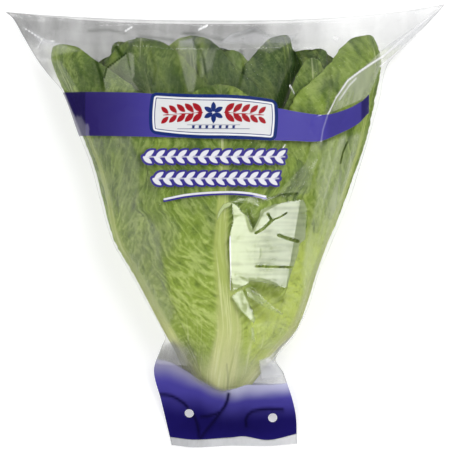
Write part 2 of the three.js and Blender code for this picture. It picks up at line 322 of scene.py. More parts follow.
# The head's section, an ellipse at each place along it: its sides in plan, half height and underside.
headLeft = curve([
    [-146, -15], [-141, -20.5], [-135.6, -24.5], [-122.8, -32], [-106, -40], [-89, -50], [-63, -64.5],
    [-36, -79.5], [-13, -92], [22, -102.5], [50, -110], [77, -120.5], [113, -134.5], [140, -145], [160, -143],
])
headRight = curve([
    [-146, 11], [-141, 15.5], [-135.6, 19.5], [-122.8, 30], [-106, 43], [-89, 58], [-63, 69], [-36, 78],
    [-13, 87.5], [22, 102.3], [50, 111], [77, 119.3], [107, 127.8], [140, 132], [160, 128],
])
headDepth = curve([
    [-146, 13], [-141, 16], [-135, 19.5], [-122, 25], [-105, 30.5], [-88, 34.5], [-63, 38.5], [-36, 41],
    [0, 42], [50, 41], [100, 37.5], [130, 34.5], [160, 30],
])
headLow = curve([
    [-146, 15], [-135, 12], [-122, 9.5], [-105, 7], [-88, 5], [-63, 3.2], [-36, 2.2], [0, 2], [50, 2],
    [100, 2.6], [130, 3.6], [160, 5],
])


def section(y):
    left, right, depth = headLeft(y), headRight(y), headDepth(y)
    return (left + right) / 2, headLow(y) + depth, (right - left) / 2, depth


leafForm = {
    "turn": 144,  # degrees from each leaf of a whorl to the next
    "step": 0.033,  # how much deeper each leaf lies than the one before, as a share of the section
    "angleJitter": 4,  # in degrees
    "widthJitter": 0.05,  # as a share of the width
    "spreadBase": 40,  # degrees round the head that half a leaf may take up, at its foot
    "spreadBlade": 53,  # and in its blade
    "rowCrowd": 1.2,  # rows crowd towards the tip
    "columnCrowd": 1.15,  # and columns towards the rib
    "waves": 38,  # of the margin, in radians from foot to tip
    "ruffle": 2.0,
    "flutter": 0.8,
    "scallop": 0.05,  # how much the waves change the leaf's width, as a share
    "frill": 0.03,  # and smaller uneven waves
    "cup": 2.4,  # how far the margins of the upper half curl in
    "swell": 1.3,  # of the whole head, over its upper side
    "fold": 2.2,
    "thick": 0.8,  # beside the rib
    "thin": 0.45,  # at the margin
    "ribEdge": 2.3,  # how steep the rib's sides are
    "fibre": 0.3,  # height of the fibres along the rib
    "veinSpacing": 13,
    "veinHeight": 0.4,
    "veinWidth": 1.3,
    "veinFade": 32,  # how far from the rib the side veins stand out
    "veinCurl": 0.004,
    "veinWander": 4.5,
    "pleat": 2.6,
    "pleatWander": 5,
    # Sizes of the noise for each, across and along.
    "fibreSize": (1.9, 70),
    "veinSize": (20, 26),
    "wanderSize": (17, 17),
    "pleatSize": (7.5, 17),
    "puckerSize": (3.8, 8),
    "grainSize": (2.9, 2.9),
    "patchSize": (40, 40),
    "frillSize": 5,
    "flutterSize": 6,
}
# Five leaves to a whorl: depth is where its first leaf lies, as a share of the section, and cells is how
# finely each leaf is divided across and along. The other lists hold one value for each leaf.
whorls = [
    {"name": "1", "slot": "outer_leaf", "depth": 0, "firstAngle": 2, "halfWidth": 76, "base": -144.5,
     "tips": [118, 150, 153, 161, 146], "reach": [1, 1, 1.075, 1.1, 1], "narrow": [0.1, 0, 0, 0.05, 0],
     "shift": [0, 0, -3, 2, 0], "tones": [0.5, 0.45, 0.35, 1.0, 0.35], "rib": 3.6, "ribWidth": 1,
     "cells": [(130, 230), (52, 110), (100, 190), (100, 190), (52, 110)]},
    {"name": "2", "slot": "middle_leaf", "depth": 0.23, "firstAngle": 40, "halfWidth": 62, "base": -136,
     "tips": [141, 152, 158, 150, 156], "reach": [1] * 5, "narrow": [0.5, -0.1, -0.3, 0, -0.15],
     "shift": [6, 0, -12, 0, 0], "tones": [0.7, 0.3, 0.5, 0.1, 0.0], "rib": 2.8, "ribWidth": 0.82,
     "cells": [(80, 170), (44, 100), (80, 170), (60, 120), (60, 120)]},
    {"name": "3", "slot": "inner_leaf", "depth": 0.44, "firstAngle": -12, "halfWidth": 50, "base": -124,
     "tips": [160, 153, 159, 161, 151], "reach": [1] * 5, "narrow": [-0.25, 0, -0.35, -0.35, -0.1],
     "shift": [0, 0, 0, 15, 0], "tones": [0.35, 0.2, 0.15, 0.1, 0.3], "rib": 2.4, "ribWidth": 0.64,
     "cells": [(60, 140), (36, 90), (56, 120), (56, 120), (36, 90)]},
    {"name": "heart", "slot": "heart", "depth": 0.66, "firstAngle": 20, "halfWidth": 34, "base": -112,
     "tips": [148, 141, 150, 138, 130], "reach": [1] * 5, "narrow": [-0.2] * 5, "shift": [0] * 5,
     "tones": [0.5] * 5, "rib": 1.6, "ribWidth": 0.5, "cells": [(32, 80)] * 5},
]
# From a leaf's foot to its tip: its half width as a share of the widest, the rib's height as a share, and
# the rib's half width in millimetres.
leafOutline = curve([
    [0, 0.2], [0.1, 0.34], [0.25, 0.56], [0.45, 0.82], [0.6, 0.97], [0.7, 0.98], [0.8, 0.86], [0.88, 0.66],
    [0.94, 0.46], [0.98, 0.27], [0.993, 0.17], [1, 0.03],
])
ribHeight = curve([[0, 0.55], [0.08, 1], [0.3, 0.75], [0.6, 0.36], [0.9, 0.08], [1, 0]])
ribHalfWidth = curve([[0, 8], [0.08, 12], [0.2, 9], [0.45, 5.5], [0.7, 3.5], [1, 2]])


def draws(seed):
    # Even random numbers from -1 to 1, the same ones on every run.
    modulus = 2**31 - 1
    state = seed
    while True:
        state = state * 16807 % modulus
        yield state / modulus * 2 - 1


def swell(angle, y):
    # Broad swellings of the upper side, which all layers share.
    waves = np.sin(3 * angle + y / 21) + 0.7 * np.sin(y / 13 - 2 * angle)
    return leafForm["swell"] * smooth(-90, 20, y) * (0.5 + 0.5 * np.cos(angle)) * waves


def folds(angle, y):
    # Long folds in the upper half, which all layers share so that they still nest.
    return leafForm["fold"] * smooth(10, 100, y) * noise(angle * 2.6, y / 60, 77)


def turnsFor(lengths, start, side, a, b):
    # For each row, the angle reached by going that length round its ellipse from the start angle.
    steps = np.radians(np.arange(0, 61, 1.0))
    at = start + side * (steps[:-1] + steps[1:]) / 2
    turns = []
    for length, width, height in zip(lengths, a, b):
        run = np.hypot(width * np.cos(at), height * np.sin(at)) * steps[1]
        turns.append(np.interp(length, np.concatenate([[0], np.cumsum(run)]), steps))
    return np.array(turns)[:, None]


def halfLeaves(leaf, up, y, half, a, b):
    # For the left and right half: how far round the head each row goes, and its length on the flat leaf.
    form = leafForm
    spread = form["spreadBase"] + (form["spreadBlade"] - form["spreadBase"]) * smooth(-120, -60, y)
    high = up * (leaf["tip"] - leaf["base"])
    turns, reached = [], []
    for side in (-1, 1):
        wave = np.sin(form["waves"] * up + side * 1.3 + leaf["phase"])
        frill = form["frill"] * noise(high / form["frillSize"], up * 0 + side * 3, leaf["seed"])
        length = half * (1 + smooth(0.35, 0.6, up) * (form["scallop"] * wave + frill))
        free = turnsFor(length[:, 0], leaf["angle"], side, a[:, 0], b[:, 0])
        turns.append(np.minimum(free, np.radians(spread)))
        reached.append(half * turns[-1] / np.maximum(free, 1e-3))
    return turns, reached


def veinsAndPleats(leaf, up, aside, high, rib):
    # Side veins leave the rib in pairs and bend up towards the margin. Pleats and puckers run with them.
    form, seed = leafForm, leaf["seed"]
    away = np.abs(aside)
    lean = 0.55 + 1.1 * smooth(0.3, 1, up)
    wander = form["veinWander"] * ripple(aside, high, form["veinSize"], seed + 1)
    bent = lean * away + form["veinCurl"] * away**2 + wander
    phase = (high - bent) / form["veinSpacing"] + np.where(aside < 0, 0.5, 0)
    near = np.abs(phase - np.round(phase)) * form["veinSpacing"]
    fade = smooth(0.04, 0.2, up) * (0.25 + 0.75 * np.exp(-away / form["veinFade"]))
    vein = bell(near, form["veinWidth"]) * (1 - rib) * fade
    warp = form["pleatWander"] * ripple(aside, high, form["wanderSize"], seed + 2)
    across, along = high - bent + warp, away + 0.4 * high - warp
    pleats = 0.36 - np.abs(ripple(across, along, form["pleatSize"], seed + 3))
    puckers = 0.3 - np.abs(ripple(across, along, form["puckerSize"], seed + 5))
    grain = ripple(aside, high, form["grainSize"], seed + 7)
    return phase, vein, pleats + 0.5 * puckers + 0.16 * grain


def leafGrid(leaf, columns, rows):
    # Points of the outer and inner face, and what the finish needs to know at each.
    form, seed = leafForm, leaf["seed"]
    up = 1 - (1 - np.linspace(0, 1, rows + 1)[:, None]) ** form["rowCrowd"]  # 0 at the foot, 1 at the tip
    even = np.linspace(-1, 1, columns + 1)[None, :]
    out = np.sign(even) * np.abs(even) ** form["columnCrowd"]  # 0 on the rib, -1 and 1 at the margins
    edge = np.abs(out)
    y = leaf["base"] + (leaf["tip"] - leaf["base"]) * up
    x0, z0, a, b = section(y)
    layer = 1 - leaf["depth"] - leaf["order"] * form["step"] * smooth(-150, -126, y)
    half = leaf["halfWidth"] * leafOutline(up) * (1 - leaf["narrow"] * smooth(0.45, 0.8, up))
    turns, reached = halfLeaves(leaf, up, y, half, a * layer, b * layer)
    angle = leaf["angle"] + out * np.where(out < 0, *turns)
    aside, high = out * np.where(out < 0, *reached), up * (leaf["tip"] - leaf["base"]) + 0 * out
    rib = np.exp(-np.abs(out * half / (leaf["ribWidth"] * ribHalfWidth(up))) ** form["ribEdge"])
    fibres = form["fibre"] * rib * ripple(aside, high, form["fibreSize"], seed + 9) * smooth(1, 0.5, up)
    blade = smooth(0.1, 0.32, up) * (1 - rib)
    phase, vein, pucker = veinsAndPleats(leaf, up, aside, high, rib)
    patchy = 0.8 + 0.7 * ripple(aside, high, form["patchSize"], seed + 6)
    strength = (0.65 + 0.35 * smooth(0.2, 0.6, up)) * patchy * (1 - 0.15 * smooth(0.6, 0.85, up))
    wavy = smooth(0.35, 0.6, up)
    ruffle = form["ruffle"] * wavy * edge**3.5 * np.sin(form["waves"] * up + 2 * out + leaf["phase"])
    flutter = form["flutter"] * wavy * edge**6 * noise(high / form["flutterSize"], out * 2, seed + 4)
    cup = form["cup"] * smooth(0.7, 1, up) * out * out
    blister = form["pleat"] * blade * pucker * strength
    middle = swell(angle, y) + folds(angle, y) + ruffle + flutter - cup + blister
    bulge = leaf["rib"] * ribHeight(up) * rib + fibres + form["veinHeight"] * vein
    thickness = form["thin"] + (form["thick"] - form["thin"]) * (1 - edge**2)
    nx, nz = np.sin(angle) / a, np.cos(angle) / b
    size = np.hypot(nx, nz)
    faces = []
    for lift in (middle + thickness / 2 + bulge, middle - thickness / 2):
        faces.append(np.stack([
            x0 + a * layer * leaf["reach"] * np.sin(angle) + nx / size * lift,
            y + 0 * out,
            z0 + b * layer * np.cos(angle) + nz / size * lift,
        ], -1))
    values = {
        "along": up + 0 * out,
        "acrossMm": aside,
        "alongMm": high,
        "veinPhase": phase,
        "rib": rib,
        "pucker": pucker * blade,
        "tone": leaf["tone"] + 0 * aside,
    }
    return faces[0], faces[1], values


def bladePiece(name, leaf, cells, material):
    # A closed leaf: its outer face, its inner face and the rim between them.
    outer, inner, values = leafGrid(leaf, *cells)
    shape = outer.shape[:2]
    count = shape[0] * shape[1]
    top = gridFaces(*shape)
    under = gridFaces(*shape, start=count)[:, ::-1]
    at = np.arange(count).reshape(shape)
    edge = np.concatenate([at[0, :-1], at[:-1, -1], at[-1, :0:-1], at[:0:-1, 0]])
    after = np.roll(edge, -1)
    rim = np.stack([edge, edge + count, after + count, after], -1)
    points = np.concatenate([outer.reshape(-1, 3), inner.reshape(-1, 3)])
    doubled = {label: np.concatenate([numbers.ravel()] * 2) for label, numbers in values.items()}
    return meshPiece(name, points, np.concatenate([top, under, rim]), doubled, material)


leafColours = {
    "1": {
        "bone": (0.66, 0.68, 0.3), "rib": (0.37, 0.44, 0.11), "low": (0.265, 0.36, 0.05),
        "high": (0.12, 0.2, 0.02), "dark": (0.04, 0.085, 0.008), "vein": (0.44, 0.55, 0.14),
        "light": (0.62, 0.72, 0.24), "bright": (0.80, 0.92, 0.20),
    },
    "2": {
        "bone": (0.6, 0.62, 0.26), "rib": (0.36, 0.43, 0.1), "low": (0.29, 0.39, 0.055),
        "high": (0.11, 0.19, 0.018), "dark": (0.03, 0.07, 0.008), "vein": (0.42, 0.53, 0.14),
        "light": (0.56, 0.68, 0.2), "bright": (0.7, 0.8, 0.2),
    },
    "3": {
        "bone": (0.62, 0.62, 0.3), "rib": (0.5, 0.58, 0.18), "low": (0.4, 0.52, 0.09),
        "high": (0.10, 0.18, 0.018), "dark": (0.025, 0.065, 0.008), "vein": (0.45, 0.55, 0.18),
        "light": (0.5, 0.62, 0.2), "bright": (0.6, 0.7, 0.2),
    },
    "heart": {
        "bone": (0.7, 0.7, 0.4), "rib": (0.62, 0.7, 0.26), "low": (0.48, 0.62, 0.13),
        "high": (0.22, 0.34, 0.05), "dark": (0.1, 0.18, 0.02), "vein": (0.58, 0.68, 0.26),
        "light": (0.6, 0.7, 0.3), "bright": (0.6, 0.7, 0.3),
    },
}
# The same on every leaf: fibres of the rib, painted shade in the gaps between the ribs at the foot, and marks
# beside the cut.
ribColours = {
    "fibreDark": (0.5, 0.58, 0.2),
    "fibreLight": (0.85, 0.88, 0.5),
    "gap": (0.36, 0.40, 0.10),
    "mark": (0.30, 0.24, 0.08),
}
leafGloss = {"Specular IOR Level": 0.45, "IOR": 1.45}


def leafFinish(label):
    def build(shade):
        tints = {name: shade.colour(*rgb) for name, rgb in (leafColours[label] | ribColours).items()}
        bone, low, high, dark, light = (tints[name] for name in ("bone", "low", "high", "dark", "light"))
        along, rib, tone = shade.value("along"), shade.value("rib"), shade.value("tone")
        across, length = shade.value("acrossMm"), shade.value("alongMm")
        pucker = shade.value("pucker")
        sheet = shade.place(across, length, tone * 90)
        patch = sheet.speckle(0.05, 4.0)
        grain = sheet.speckle(0.5, 4.0)
        # A net of small veins between the side veins.
        wobble = sheet.speckle(0.16, 1.0, "Color")
        netSettings = {"feature": "DISTANCE_TO_EDGE", "voronoi_dimensions": "2D"}
        netInputs = {"Vector": sheet.shifted(wobble, (3.0, 3.0, 0.0)), "Scale": 0.24}
        cells = shade.node("TexVoronoi", netSettings, netInputs)
        cross = shade.maths("PINGPONG", shade.value("veinPhase"), 0.5)
        vein = cross.step(0.12, 0.02) * along.step(0.03, 0.2)
        up = (along + (patch - 0.5) * 0.35).step(0.22, 0.8)
        blade = low.blend(high, up)
        blade = blade.blend(dark, patch.step(0.46, 0.74) * along.step(0.2, 0.8) * 0.55)
        blade = blade.blend(dark, tone.step(0.6, 0.0) * along.step(0.3, 0.8) * 0.7)
        blade = blade.blend(low, tone.step(0.5, 1.0) * 0.35)
        # One half of the head is brighter low down.
        lower = (along - 0.12 * tone.step(0.6, 1.0)).step(0.42, 0.25)
        blade = blade.blend(tints["bright"], shade.spot().part(0).step(0.004, 0.03) * lower * 0.55)
        # Strokes of light and shade along the side veins.
        veinward = shade.place(across * 0.17, shade.value("veinPhase") * 4.4, tone * 9)
        strokes = veinward.shifted(wobble, (1.4, 1.4, 0.0)).speckle(1.0, 6.0)
        mottle = sheet.speckle(0.24, 3.0)
        lit = pucker * (0.6 + 0.1 * along.step(0.8, 0.5))
        lit = lit + (strokes - 0.5) * (0.8 + 0.2 * along.step(0.9, 0.4))
        lit = lit + (mottle - 0.5) * (0.35 + 0.75 * along.step(0.6, 0.85))
        lit = (lit + (patch - 0.5) * 0.9).step(-0.7, 0.65)
        blade = blade.blend(dark, lit.step(0.5, 0.0) * 0.6)
        blade = blade.blend(light.blend(high, up * 0.6), lit.step(0.5, 0.95) * 0.6)
        # Broad soft stripes of light along the upper part.
        broad = shade.place(across * 0.085, length * 0.028, tone * 9 + 4).speckle(1.0, 2.0)
        blade = blade.blend(low, broad.step(0.5, 0.68) * along.step(0.5, 0.75) * 0.6)
        blade = blade.blend(dark, broad.step(0.5, 0.34) * along.step(0.5, 0.75) * 0.7)
        if label != "1":
            blade = blade.blend(dark, along.step(0.98, 0.86) * 0.65)  # in the shade of the leaves over it
        blade = blade.blend(tints["vein"], cells.step(0.11, 0.0) * 0.07)
        blade = blade.blend(tints["vein"], vein * along.step(1.0, 0.4) * 0.4)
        ribColour = bone.blend(tints["rib"], along.step(0.05, 0.4))
        whole = blade.blend(ribColour, rib.step(0.03, 0.55) * along.step(0.9, 0.6))
        whole = whole.blend(bone, along.step(0.17, 0.02) * 0.85)
        fibres = shade.place(across * 0.5, length * 0.02, tone * 9).speckle(1.0, 3.0)
        ribLike = rib.largest(along.step(0.3, 0.1))
        whole = whole.blend(tints["fibreDark"], fibres.step(0.45, 0.3) * ribLike * 0.5)
        whole = whole.blend(tints["fibreLight"], fibres.step(0.5, 0.7) * ribLike * 0.5)
        # At the foot, the gaps between neighbouring ribs show as broad darker bands of painted shade.
        crowded = across * 0.13 * (1 + 2.4 * along.step(0.3, 0.0))
        ribGapShade = shade.place(crowded, length * 0.01, tone * 7).speckle(1.0, 1.0)
        whole = whole.blend(tints["gap"], ribGapShade.step(0.47, 0.3) * along.step(0.26, 0.08) * 0.75)
        whole = whole.blend(tints["mark"], grain.step(0.5, 0.62) * along.step(0.022, 0.005) * 0.7)
        whole = whole.blend(dark, grain.step(0.6, 0.8) * 0.12)
        height = grain * 0.35 + cells.step(0.0, 0.35) * 0.65 * (1 - rib)
        return {"Base Color": whole, "Roughness": 0.4 + 0.25 * grain, "Normal": height.grainBump()}

    return finish("leaf" + label, leafGloss, build)


random = draws(20417)
for whorl in whorls:
    material = leafFinish(whorl["name"])
    for order in range(5):
        leaf = dict(
            whorl,
            order=order,
            angle=math.radians(
                whorl["firstAngle"] + order * leafForm["turn"] + leafForm["angleJitter"] * next(random)
                + whorl["shift"][order]
            ),
            halfWidth=whorl["halfWidth"] * (1 + leafForm["widthJitter"] * next(random)),
            tip=whorl["tips"][order],
            reach=whorl["reach"][order],
            narrow=whorl["narrow"][order],
            phase=3 * next(random),
            tone=whorl["tones"][order],
            seed=100 + 10 * order + 60 * whorls.index(whorl),
        )
        inHeart = whorl["name"] == "heart"
        name = f"heartBlade_{order + 1}" if inHeart else f"leafBlade_{whorl['name']}_{order + 1}"
        piece = bladePiece(name, leaf, whorl["cells"][order], material)
        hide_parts("heart" if inHeart else f"leaf_{whorl['name']}_{order + 1}")
print("leaves made")

stemForm = {
    "foot": -147,
    "top": -116,
    "sides": 96,
    "cutRings": 14,
    "sideRings": 44,
    "rough": 0.35,
    "ridges": 0.3,
    "bulge": 0.4,  # of the cut face, at its middle
    "face": (0.72, 0.70, 0.46),
    "rings": (0.58, 0.5, 0.27),
    "browned": (0.42, 0.24, 0.09),
    "sideLow": (0.66, 0.66, 0.36),
    "sideHigh": (0.52, 0.6, 0.2),
    "marks": (0.4, 0.27, 0.1),
}
stemRadius = curve([[-147, 9.5], [-145, 11], [-140, 12.5], [-130, 12], [-122, 10.2], [-116, 5]])


def tubePiece(name, centre, radii, rough, values, material):
    # A tube of rings: where the middle of each ring is, and its half sizes across and up.
    rings, sides = len(radii), stemForm["sides"]
    angle = np.linspace(0, 2 * np.pi, sides, endpoint=False)[None, :]
    x, y, z = (np.asarray(part)[:, None] for part in centre)
    a, b = (half[:, None] + rough for half in np.asarray(radii).T)
    points = np.stack([x + a * np.sin(angle), y + 0 * angle, z + b * np.cos(angle)], -1)
    at = np.arange(rings * sides).reshape(rings, sides)
    ring = np.concatenate([at, at[:, :1]], 1)
    faces = np.stack([ring[:-1, :-1], ring[:-1, 1:], ring[1:, 1:], ring[1:, :-1]], -1).reshape(-1, 4)
    return meshPiece(name, points.reshape(-1, 3), faces, values, material)


def stemPiece():
    foot, top, cut, sides = (stemForm[key] for key in ("foot", "top", "cutRings", "sides"))
    faceShare = np.linspace(0.02, 1, cut)
    along = np.linspace(foot, top, stemForm["sideRings"])
    y = np.concatenate([np.full(cut, float(foot)), along])
    radius = np.concatenate([faceShare * stemRadius(foot), stemRadius(along)])
    x0, z0, _, _ = section(y)
    angle = np.linspace(0, 2 * np.pi, sides, endpoint=False)[None, :]
    uneven = noise(np.cos(angle) * 2 + y[:, None] / 7, np.sin(angle) * 2, 7)
    rough = (stemForm["rough"] * uneven + stemForm["ridges"] * np.cos(angle * 5)) * (radius[:, None] / 12)
    y = y - np.concatenate([stemForm["bulge"] * (1 - faceShare**2), np.zeros(len(along))])
    share = np.concatenate([faceShare, np.full(len(along), 1.6)])  # over 1 on the side of the stem
    values = {"cutShare": np.repeat(share, sides), "upStem": np.repeat((y - foot) / (top - foot), sides)}
    return tubePiece("stemButt", (x0, y, z0), np.stack([radius, radius], 1), rough, values, stemFinish())


def stemFinish():
    def build(shade):
        tints = {name: shade.colour(*value) for name, value in stemForm.items() if isinstance(value, tuple)}
        share, up = shade.value("cutShare"), shade.value("upStem")
        grain = shade.spot().speckle(420.0, 4.0)
        rings = shade.maths("PINGPONG", share * 4 + grain * 0.6, 0.5)
        face = tints["face"].blend(tints["rings"], rings.step(0.1, 0.45) * 0.5)
        face = face.blend(tints["browned"], share.step(0.78, 1.0) * grain.step(0.35, 0.6) * 0.7)
        side = tints["sideLow"].blend(tints["sideHigh"], up.step(0.2, 1.0))
        side = side.blend(tints["marks"], grain.step(0.55, 0.72) * up.step(0.35, 0.0) * 0.6)
        whole = face.blend(side, share.step(1.0, 1.15))
        return {"Base Color": whole, "Roughness": 0.4 + 0.25 * grain, "Normal": grain.grainBump()}

    return finish("cutStem", {"Specular IOR Level": 0.4}, build)


stem = stemPiece()
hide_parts("stem")

coreForm = {"foot": -114, "top": 93, "thick": 0.34, "rings": 40, "point": 0.002}


def corePiece():
    foot, top, rings, sides = coreForm["foot"], coreForm["top"], coreForm["rings"], stemForm["sides"]
    up = np.linspace(0, 1, rings)
    y = foot + (top - foot) * up
    share = coreForm["thick"] * (1 - 0.65 * smooth(0, 0.25, up)) * (1 - 0.9 * up**4)
    share[0] = share[-1] = coreForm["point"]
    x0, z0, a, b = section(y)
    even = np.zeros(rings * sides)
    values = {
        "along": np.repeat(0.3 * up, sides),
        "rib": even + 0.6,
        "acrossMm": np.tile(np.linspace(0, 30, sides), rings),
        "alongMm": np.repeat((top - foot) * up, sides),
        "veinPhase": even + 0.5,
        "pucker": even,
        "tone": even + 0.5,
    }
    radii = np.stack([a * share, b * share], 1)
    return tubePiece("heartCore", (x0, y, z0), radii, 0, values, bpy.data.materials["leafheart"])


core = corePiece()
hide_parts("heart")
print("stem and heart made")

sleeveForm = {
    "film": 0.8,  # the thickness it has in the part's solids
    "inset": 0.3,  # how far its edges lie inside those solids
    "least": 0.4,  # how near the film comes to the floor
    "foot": -189,
    "mouth": 172.5,
    "halfMouth": 188.5,
    "mouthRise": (10, 16.5),
    "mouthDrop": 9,
    "roomHead": 4.2,
    "roomRibs": 1.2,
    "roomSides": 2.6,
    "sag": 2.2,
    "columns": 340,
    # Rows of the front sheet: from, to, how many.
    "rows": [(-189, -120, 38), (-120, -62, 39), (-62, 24, 75), (24, 115, 96), (115, 172.5, 42)],
    "backColumns": 190,
    "backRows": 170,
    "vents": [(-30.6, -161), (40.8, -165)],
    "ventRadius": 4,
    "tailEnd": -119,  # below this the film is less glossy
}
# The sleeve's sides in plan and the height of its side seams, from the foot to the mouth.
sleeveLeft = curve([
    [-189, -46], [-150, -55], [-124, -61], [-104, -54.5], [-94, -51.5], [-63, -68.5], [-36, -83.5],
    [-13, -96], [22, -106.5], [50, -114], [77, -124.5], [113, -138.5], [125, -149.5], [137.5, -160.5],
    [155, -173], [168, -182], [172.5, -188.5],
])
sleeveRight = curve([
    [-189, 62], [-160, 60.5], [-127, 50.5], [-113, 43.5], [-94, 58.7], [-68, 71.8], [-43, 79.2], [-19, 89.3],
    [22, 106.3], [50, 115], [77, 123.3], [107, 131.8], [126, 136], [136, 141.5], [146.7, 156], [161, 175],
    [168.6, 184.5], [172.5, 188.5],
])
seamHeight = curve([
    [-189, 1.9], [-178, 2.2], [-168, 4], [-150, 9], [-124, 16], [-96, 29], [-63, 38], [0, 41], [77, 38],
    [113, 32], [140, 22], [172.5, 9],
])
# In the tail, which holds nothing, the film's own section: half height, height of its middle, half width.
tailDepth = curve([[-189, 0.9], [-178, 1.3], [-168, 6], [-158, 12], [-148, 17.5], [-141, 22]])
tailMiddle = curve([[-189, 1.9], [-178, 2.4], [-168, 9], [-158, 18], [-148, 25.5], [-141, 29.8]])
tailHalf = curve([[-189, 44], [-178, 40], [-168, 32], [-158, 25], [-148, 22], [-141, 23]])
# Across the foot, how far its edge lies from a straight line.
footWave = curve([[-46, 0.3], [-26, -1.8], [5, -0.4], [37, -0.6], [62, 1.3]])


def filled(y):
    # The ellipse that the film is stretched over.
    form = sleeveForm
    x, z, a, b = section(y)
    over = form["roomHead"] + form["roomRibs"] * (1 - smooth(-80, 0, y))
    drop = form["mouthDrop"] * smooth(146, form["mouth"], y)
    share = smooth(-148, -136, y)
    z = tailMiddle(y) + (z + 0.4 - drop - tailMiddle(y)) * share
    a = tailHalf(y) + (a + over - form["roomSides"] * smooth(-90, -30, y) - tailHalf(y)) * share
    b = tailDepth(y) + (b + over - drop - tailDepth(y)) * share
    return x, z, a, b


def sheetGrid(side, rows, columns):
    # Points of the upper (side 1) or lower (side -1) sheet, as in the part's source.
    form = sleeveForm
    row = rows[:, None]
    share = np.linspace(-1, 1, columns + 1)[None, :]
    left, right = sleeveLeft(row) + form["inset"], sleeveRight(row) - form["inset"]
    x = (left + right) / 2 + share * (right - left) / 2
    x0, z0, a, b = filled(row)
    a = np.minimum(a + form["film"] / 2, np.minimum(x0 - left, right - x0) - 0.2)
    b = b + form["film"] / 2
    seamZ = seamHeight(row)
    leftRise, rightRise = form["mouthRise"]
    rise = np.where(x < 0, leftRise, rightRise) * np.abs(x / form["halfMouth"]) ** 2.4
    y = row + rise * smooth(100, form["mouth"], row) + footWave(x) * smooth(-172, -189, row)
    # The film runs straight from the side seam to where it touches the ellipse, and then round it.
    sideX = np.abs(np.where(x < x0, left, right) - x0)
    sideZ = side * (seamZ - z0)
    aside = np.abs(x - x0)
    far = np.hypot(sideX / a, sideZ / b)
    touch = np.arctan2(sideX / a, sideZ / b) - np.arccos(np.minimum(1, 1 / far))
    touchX, touchZ = a * np.sin(touch), b * np.cos(touch)
    onEllipse = b * np.sqrt(np.maximum(0, 1 - (aside / a) ** 2))
    onLine = touchZ + (sideZ - touchZ) * (aside - touchX) / (sideX - touchX)
    z = z0 + side * np.where(aside <= touchX, onEllipse, onLine)
    if side > 0:
        z = np.maximum(z, seamZ + 0.1 * (1 - share**20))
    else:
        hang = form["sag"] * smooth(-80, -50, row) * (1 - smooth(150, 170, row))
        z = np.maximum(form["least"], np.minimum(z - hang, seamZ - 0.1 * (1 - share**20)))
    return x, y, z


def pathDistance(x, y, path):
    # How far each point is from a path of straight runs.
    best = np.full(np.shape(x), 1e6)
    for (x1, y1), (x2, y2) in zip(path[:-1], path[1:]):
        dx, dy = x2 - x1, y2 - y1
        t = np.clip(((x - x1) * dx + (y - y1) * dy) / (dx * dx + dy * dy), 0, 1)
        best = np.minimum(best, np.hypot(x - x1 - t * dx, y - y1 - t * dy))
    return best


def inOutline(x, y, outline):
    # How far inside a closed outline each point is; less than 0 outside.
    closed = outline + outline[:1]
    crossings = np.zeros(np.shape(x), int)
    for (x1, y1), (x2, y2) in zip(closed[:-1], closed[1:]):
        straddles = (y1 > y) != (y2 > y)
        crossings += straddles & (x < x1 + (x2 - x1) * (y - y1) / (y2 - y1 or 1))
    away = pathDistance(x, y, closed)
    return np.where(crossings % 2 == 1, away, -away)


def facetNet(rows, columns, spacing, seed, weight=None):
    # Flat facets with sharp folds between them, from points at random heights on a loose lattice.
    # Without a weight for the heights, each facet has one value all over instead.
    rng = np.random.default_rng(seed)
    wide, long = spacing
    loose = 0.42  # how far a point may stray, as a share of the spacing
    xs, ys = np.meshgrid(np.arange(-200, 201, wide), np.arange(-196, 180, long))
    xs = xs + rng.uniform(-loose, loose, xs.shape) * wide
    ys = ys + rng.uniform(-loose, loose, ys.shape) * long
    heights = rng.uniform(-1, 1, xs.shape)
    inside = (xs > sleeveLeft(ys) - wide) & (xs < sleeveRight(ys) + wide)
    px, py, height = xs[inside], ys[inside], heights[inside]
    height = height * (weight(px, py) if weight else 1)
    made = delaunay_2d_cdt([Vector((float(p), float(q))) for p, q in zip(px, py)], [], [], 0, 1e-5)
    origin = np.array([found[0] for found in made[3]])
    px, py, height = px[origin], py[origin], height[origin]
    left, right = sleeveLeft(py), sleeveRight(py)
    column = (px - left) / (right - left) * columns
    row = np.interp(py, rows, np.arange(len(rows)))
    below, above = py < rows[0], py > rows[-1]  # these go on with the spacing of the nearest rows
    row[below] = (py[below] - rows[0]) / 1.5
    row[above] = len(rows) - 1 + (py[above] - rows[-1]) / 1.4
    # Each facet is filled in on the sheet's own rows and columns.
    field = np.zeros((len(rows), columns + 1))
    for i, j, k in made[2]:
        r, c, h = row[[i, j, k]], column[[i, j, k]], height[[i, j, k]]
        r0, r1 = max(0, math.ceil(r.min())), min(len(rows) - 1, math.floor(r.max()))
        c0, c1 = max(0, math.ceil(c.min())), min(columns, math.floor(c.max()))
        if r1 < r0 or c1 < c0:
            continue
        gr, gc = np.mgrid[r0 : r1 + 1, c0 : c1 + 1]
        area = (c[1] - c[0]) * (r[2] - r[0]) - (c[2] - c[0]) * (r[1] - r[0])
        if abs(area) < 1e-9:
            continue
        p = ((c[1] - gc) * (r[2] - gr) - (c[2] - gc) * (r[1] - gr)) / area
        q = ((c[2] - gc) * (r[0] - gr) - (c[0] - gc) * (r[2] - gr)) / area
        within = (p >= -1e-9) & (q >= -1e-9) & (p + q <= 1 + 1e-9)
        values = p * h[0] + q * h[1] + (1 - p - q) * h[2] if weight else h.mean() + 0 * p
        field[gr[within], gc[within]] = values[within]
    return field


def soften(field, times):
    # Each number moves towards the mean of its four neighbours, this many times.
    for _ in range(times):
        wide = np.pad(field, 1, mode="edge")
        field = (wide[:-2, 1:-1] + wide[2:, 1:-1] + wide[1:-1, :-2] + wide[1:-1, 2:] + 4 * field) / 8
    return field


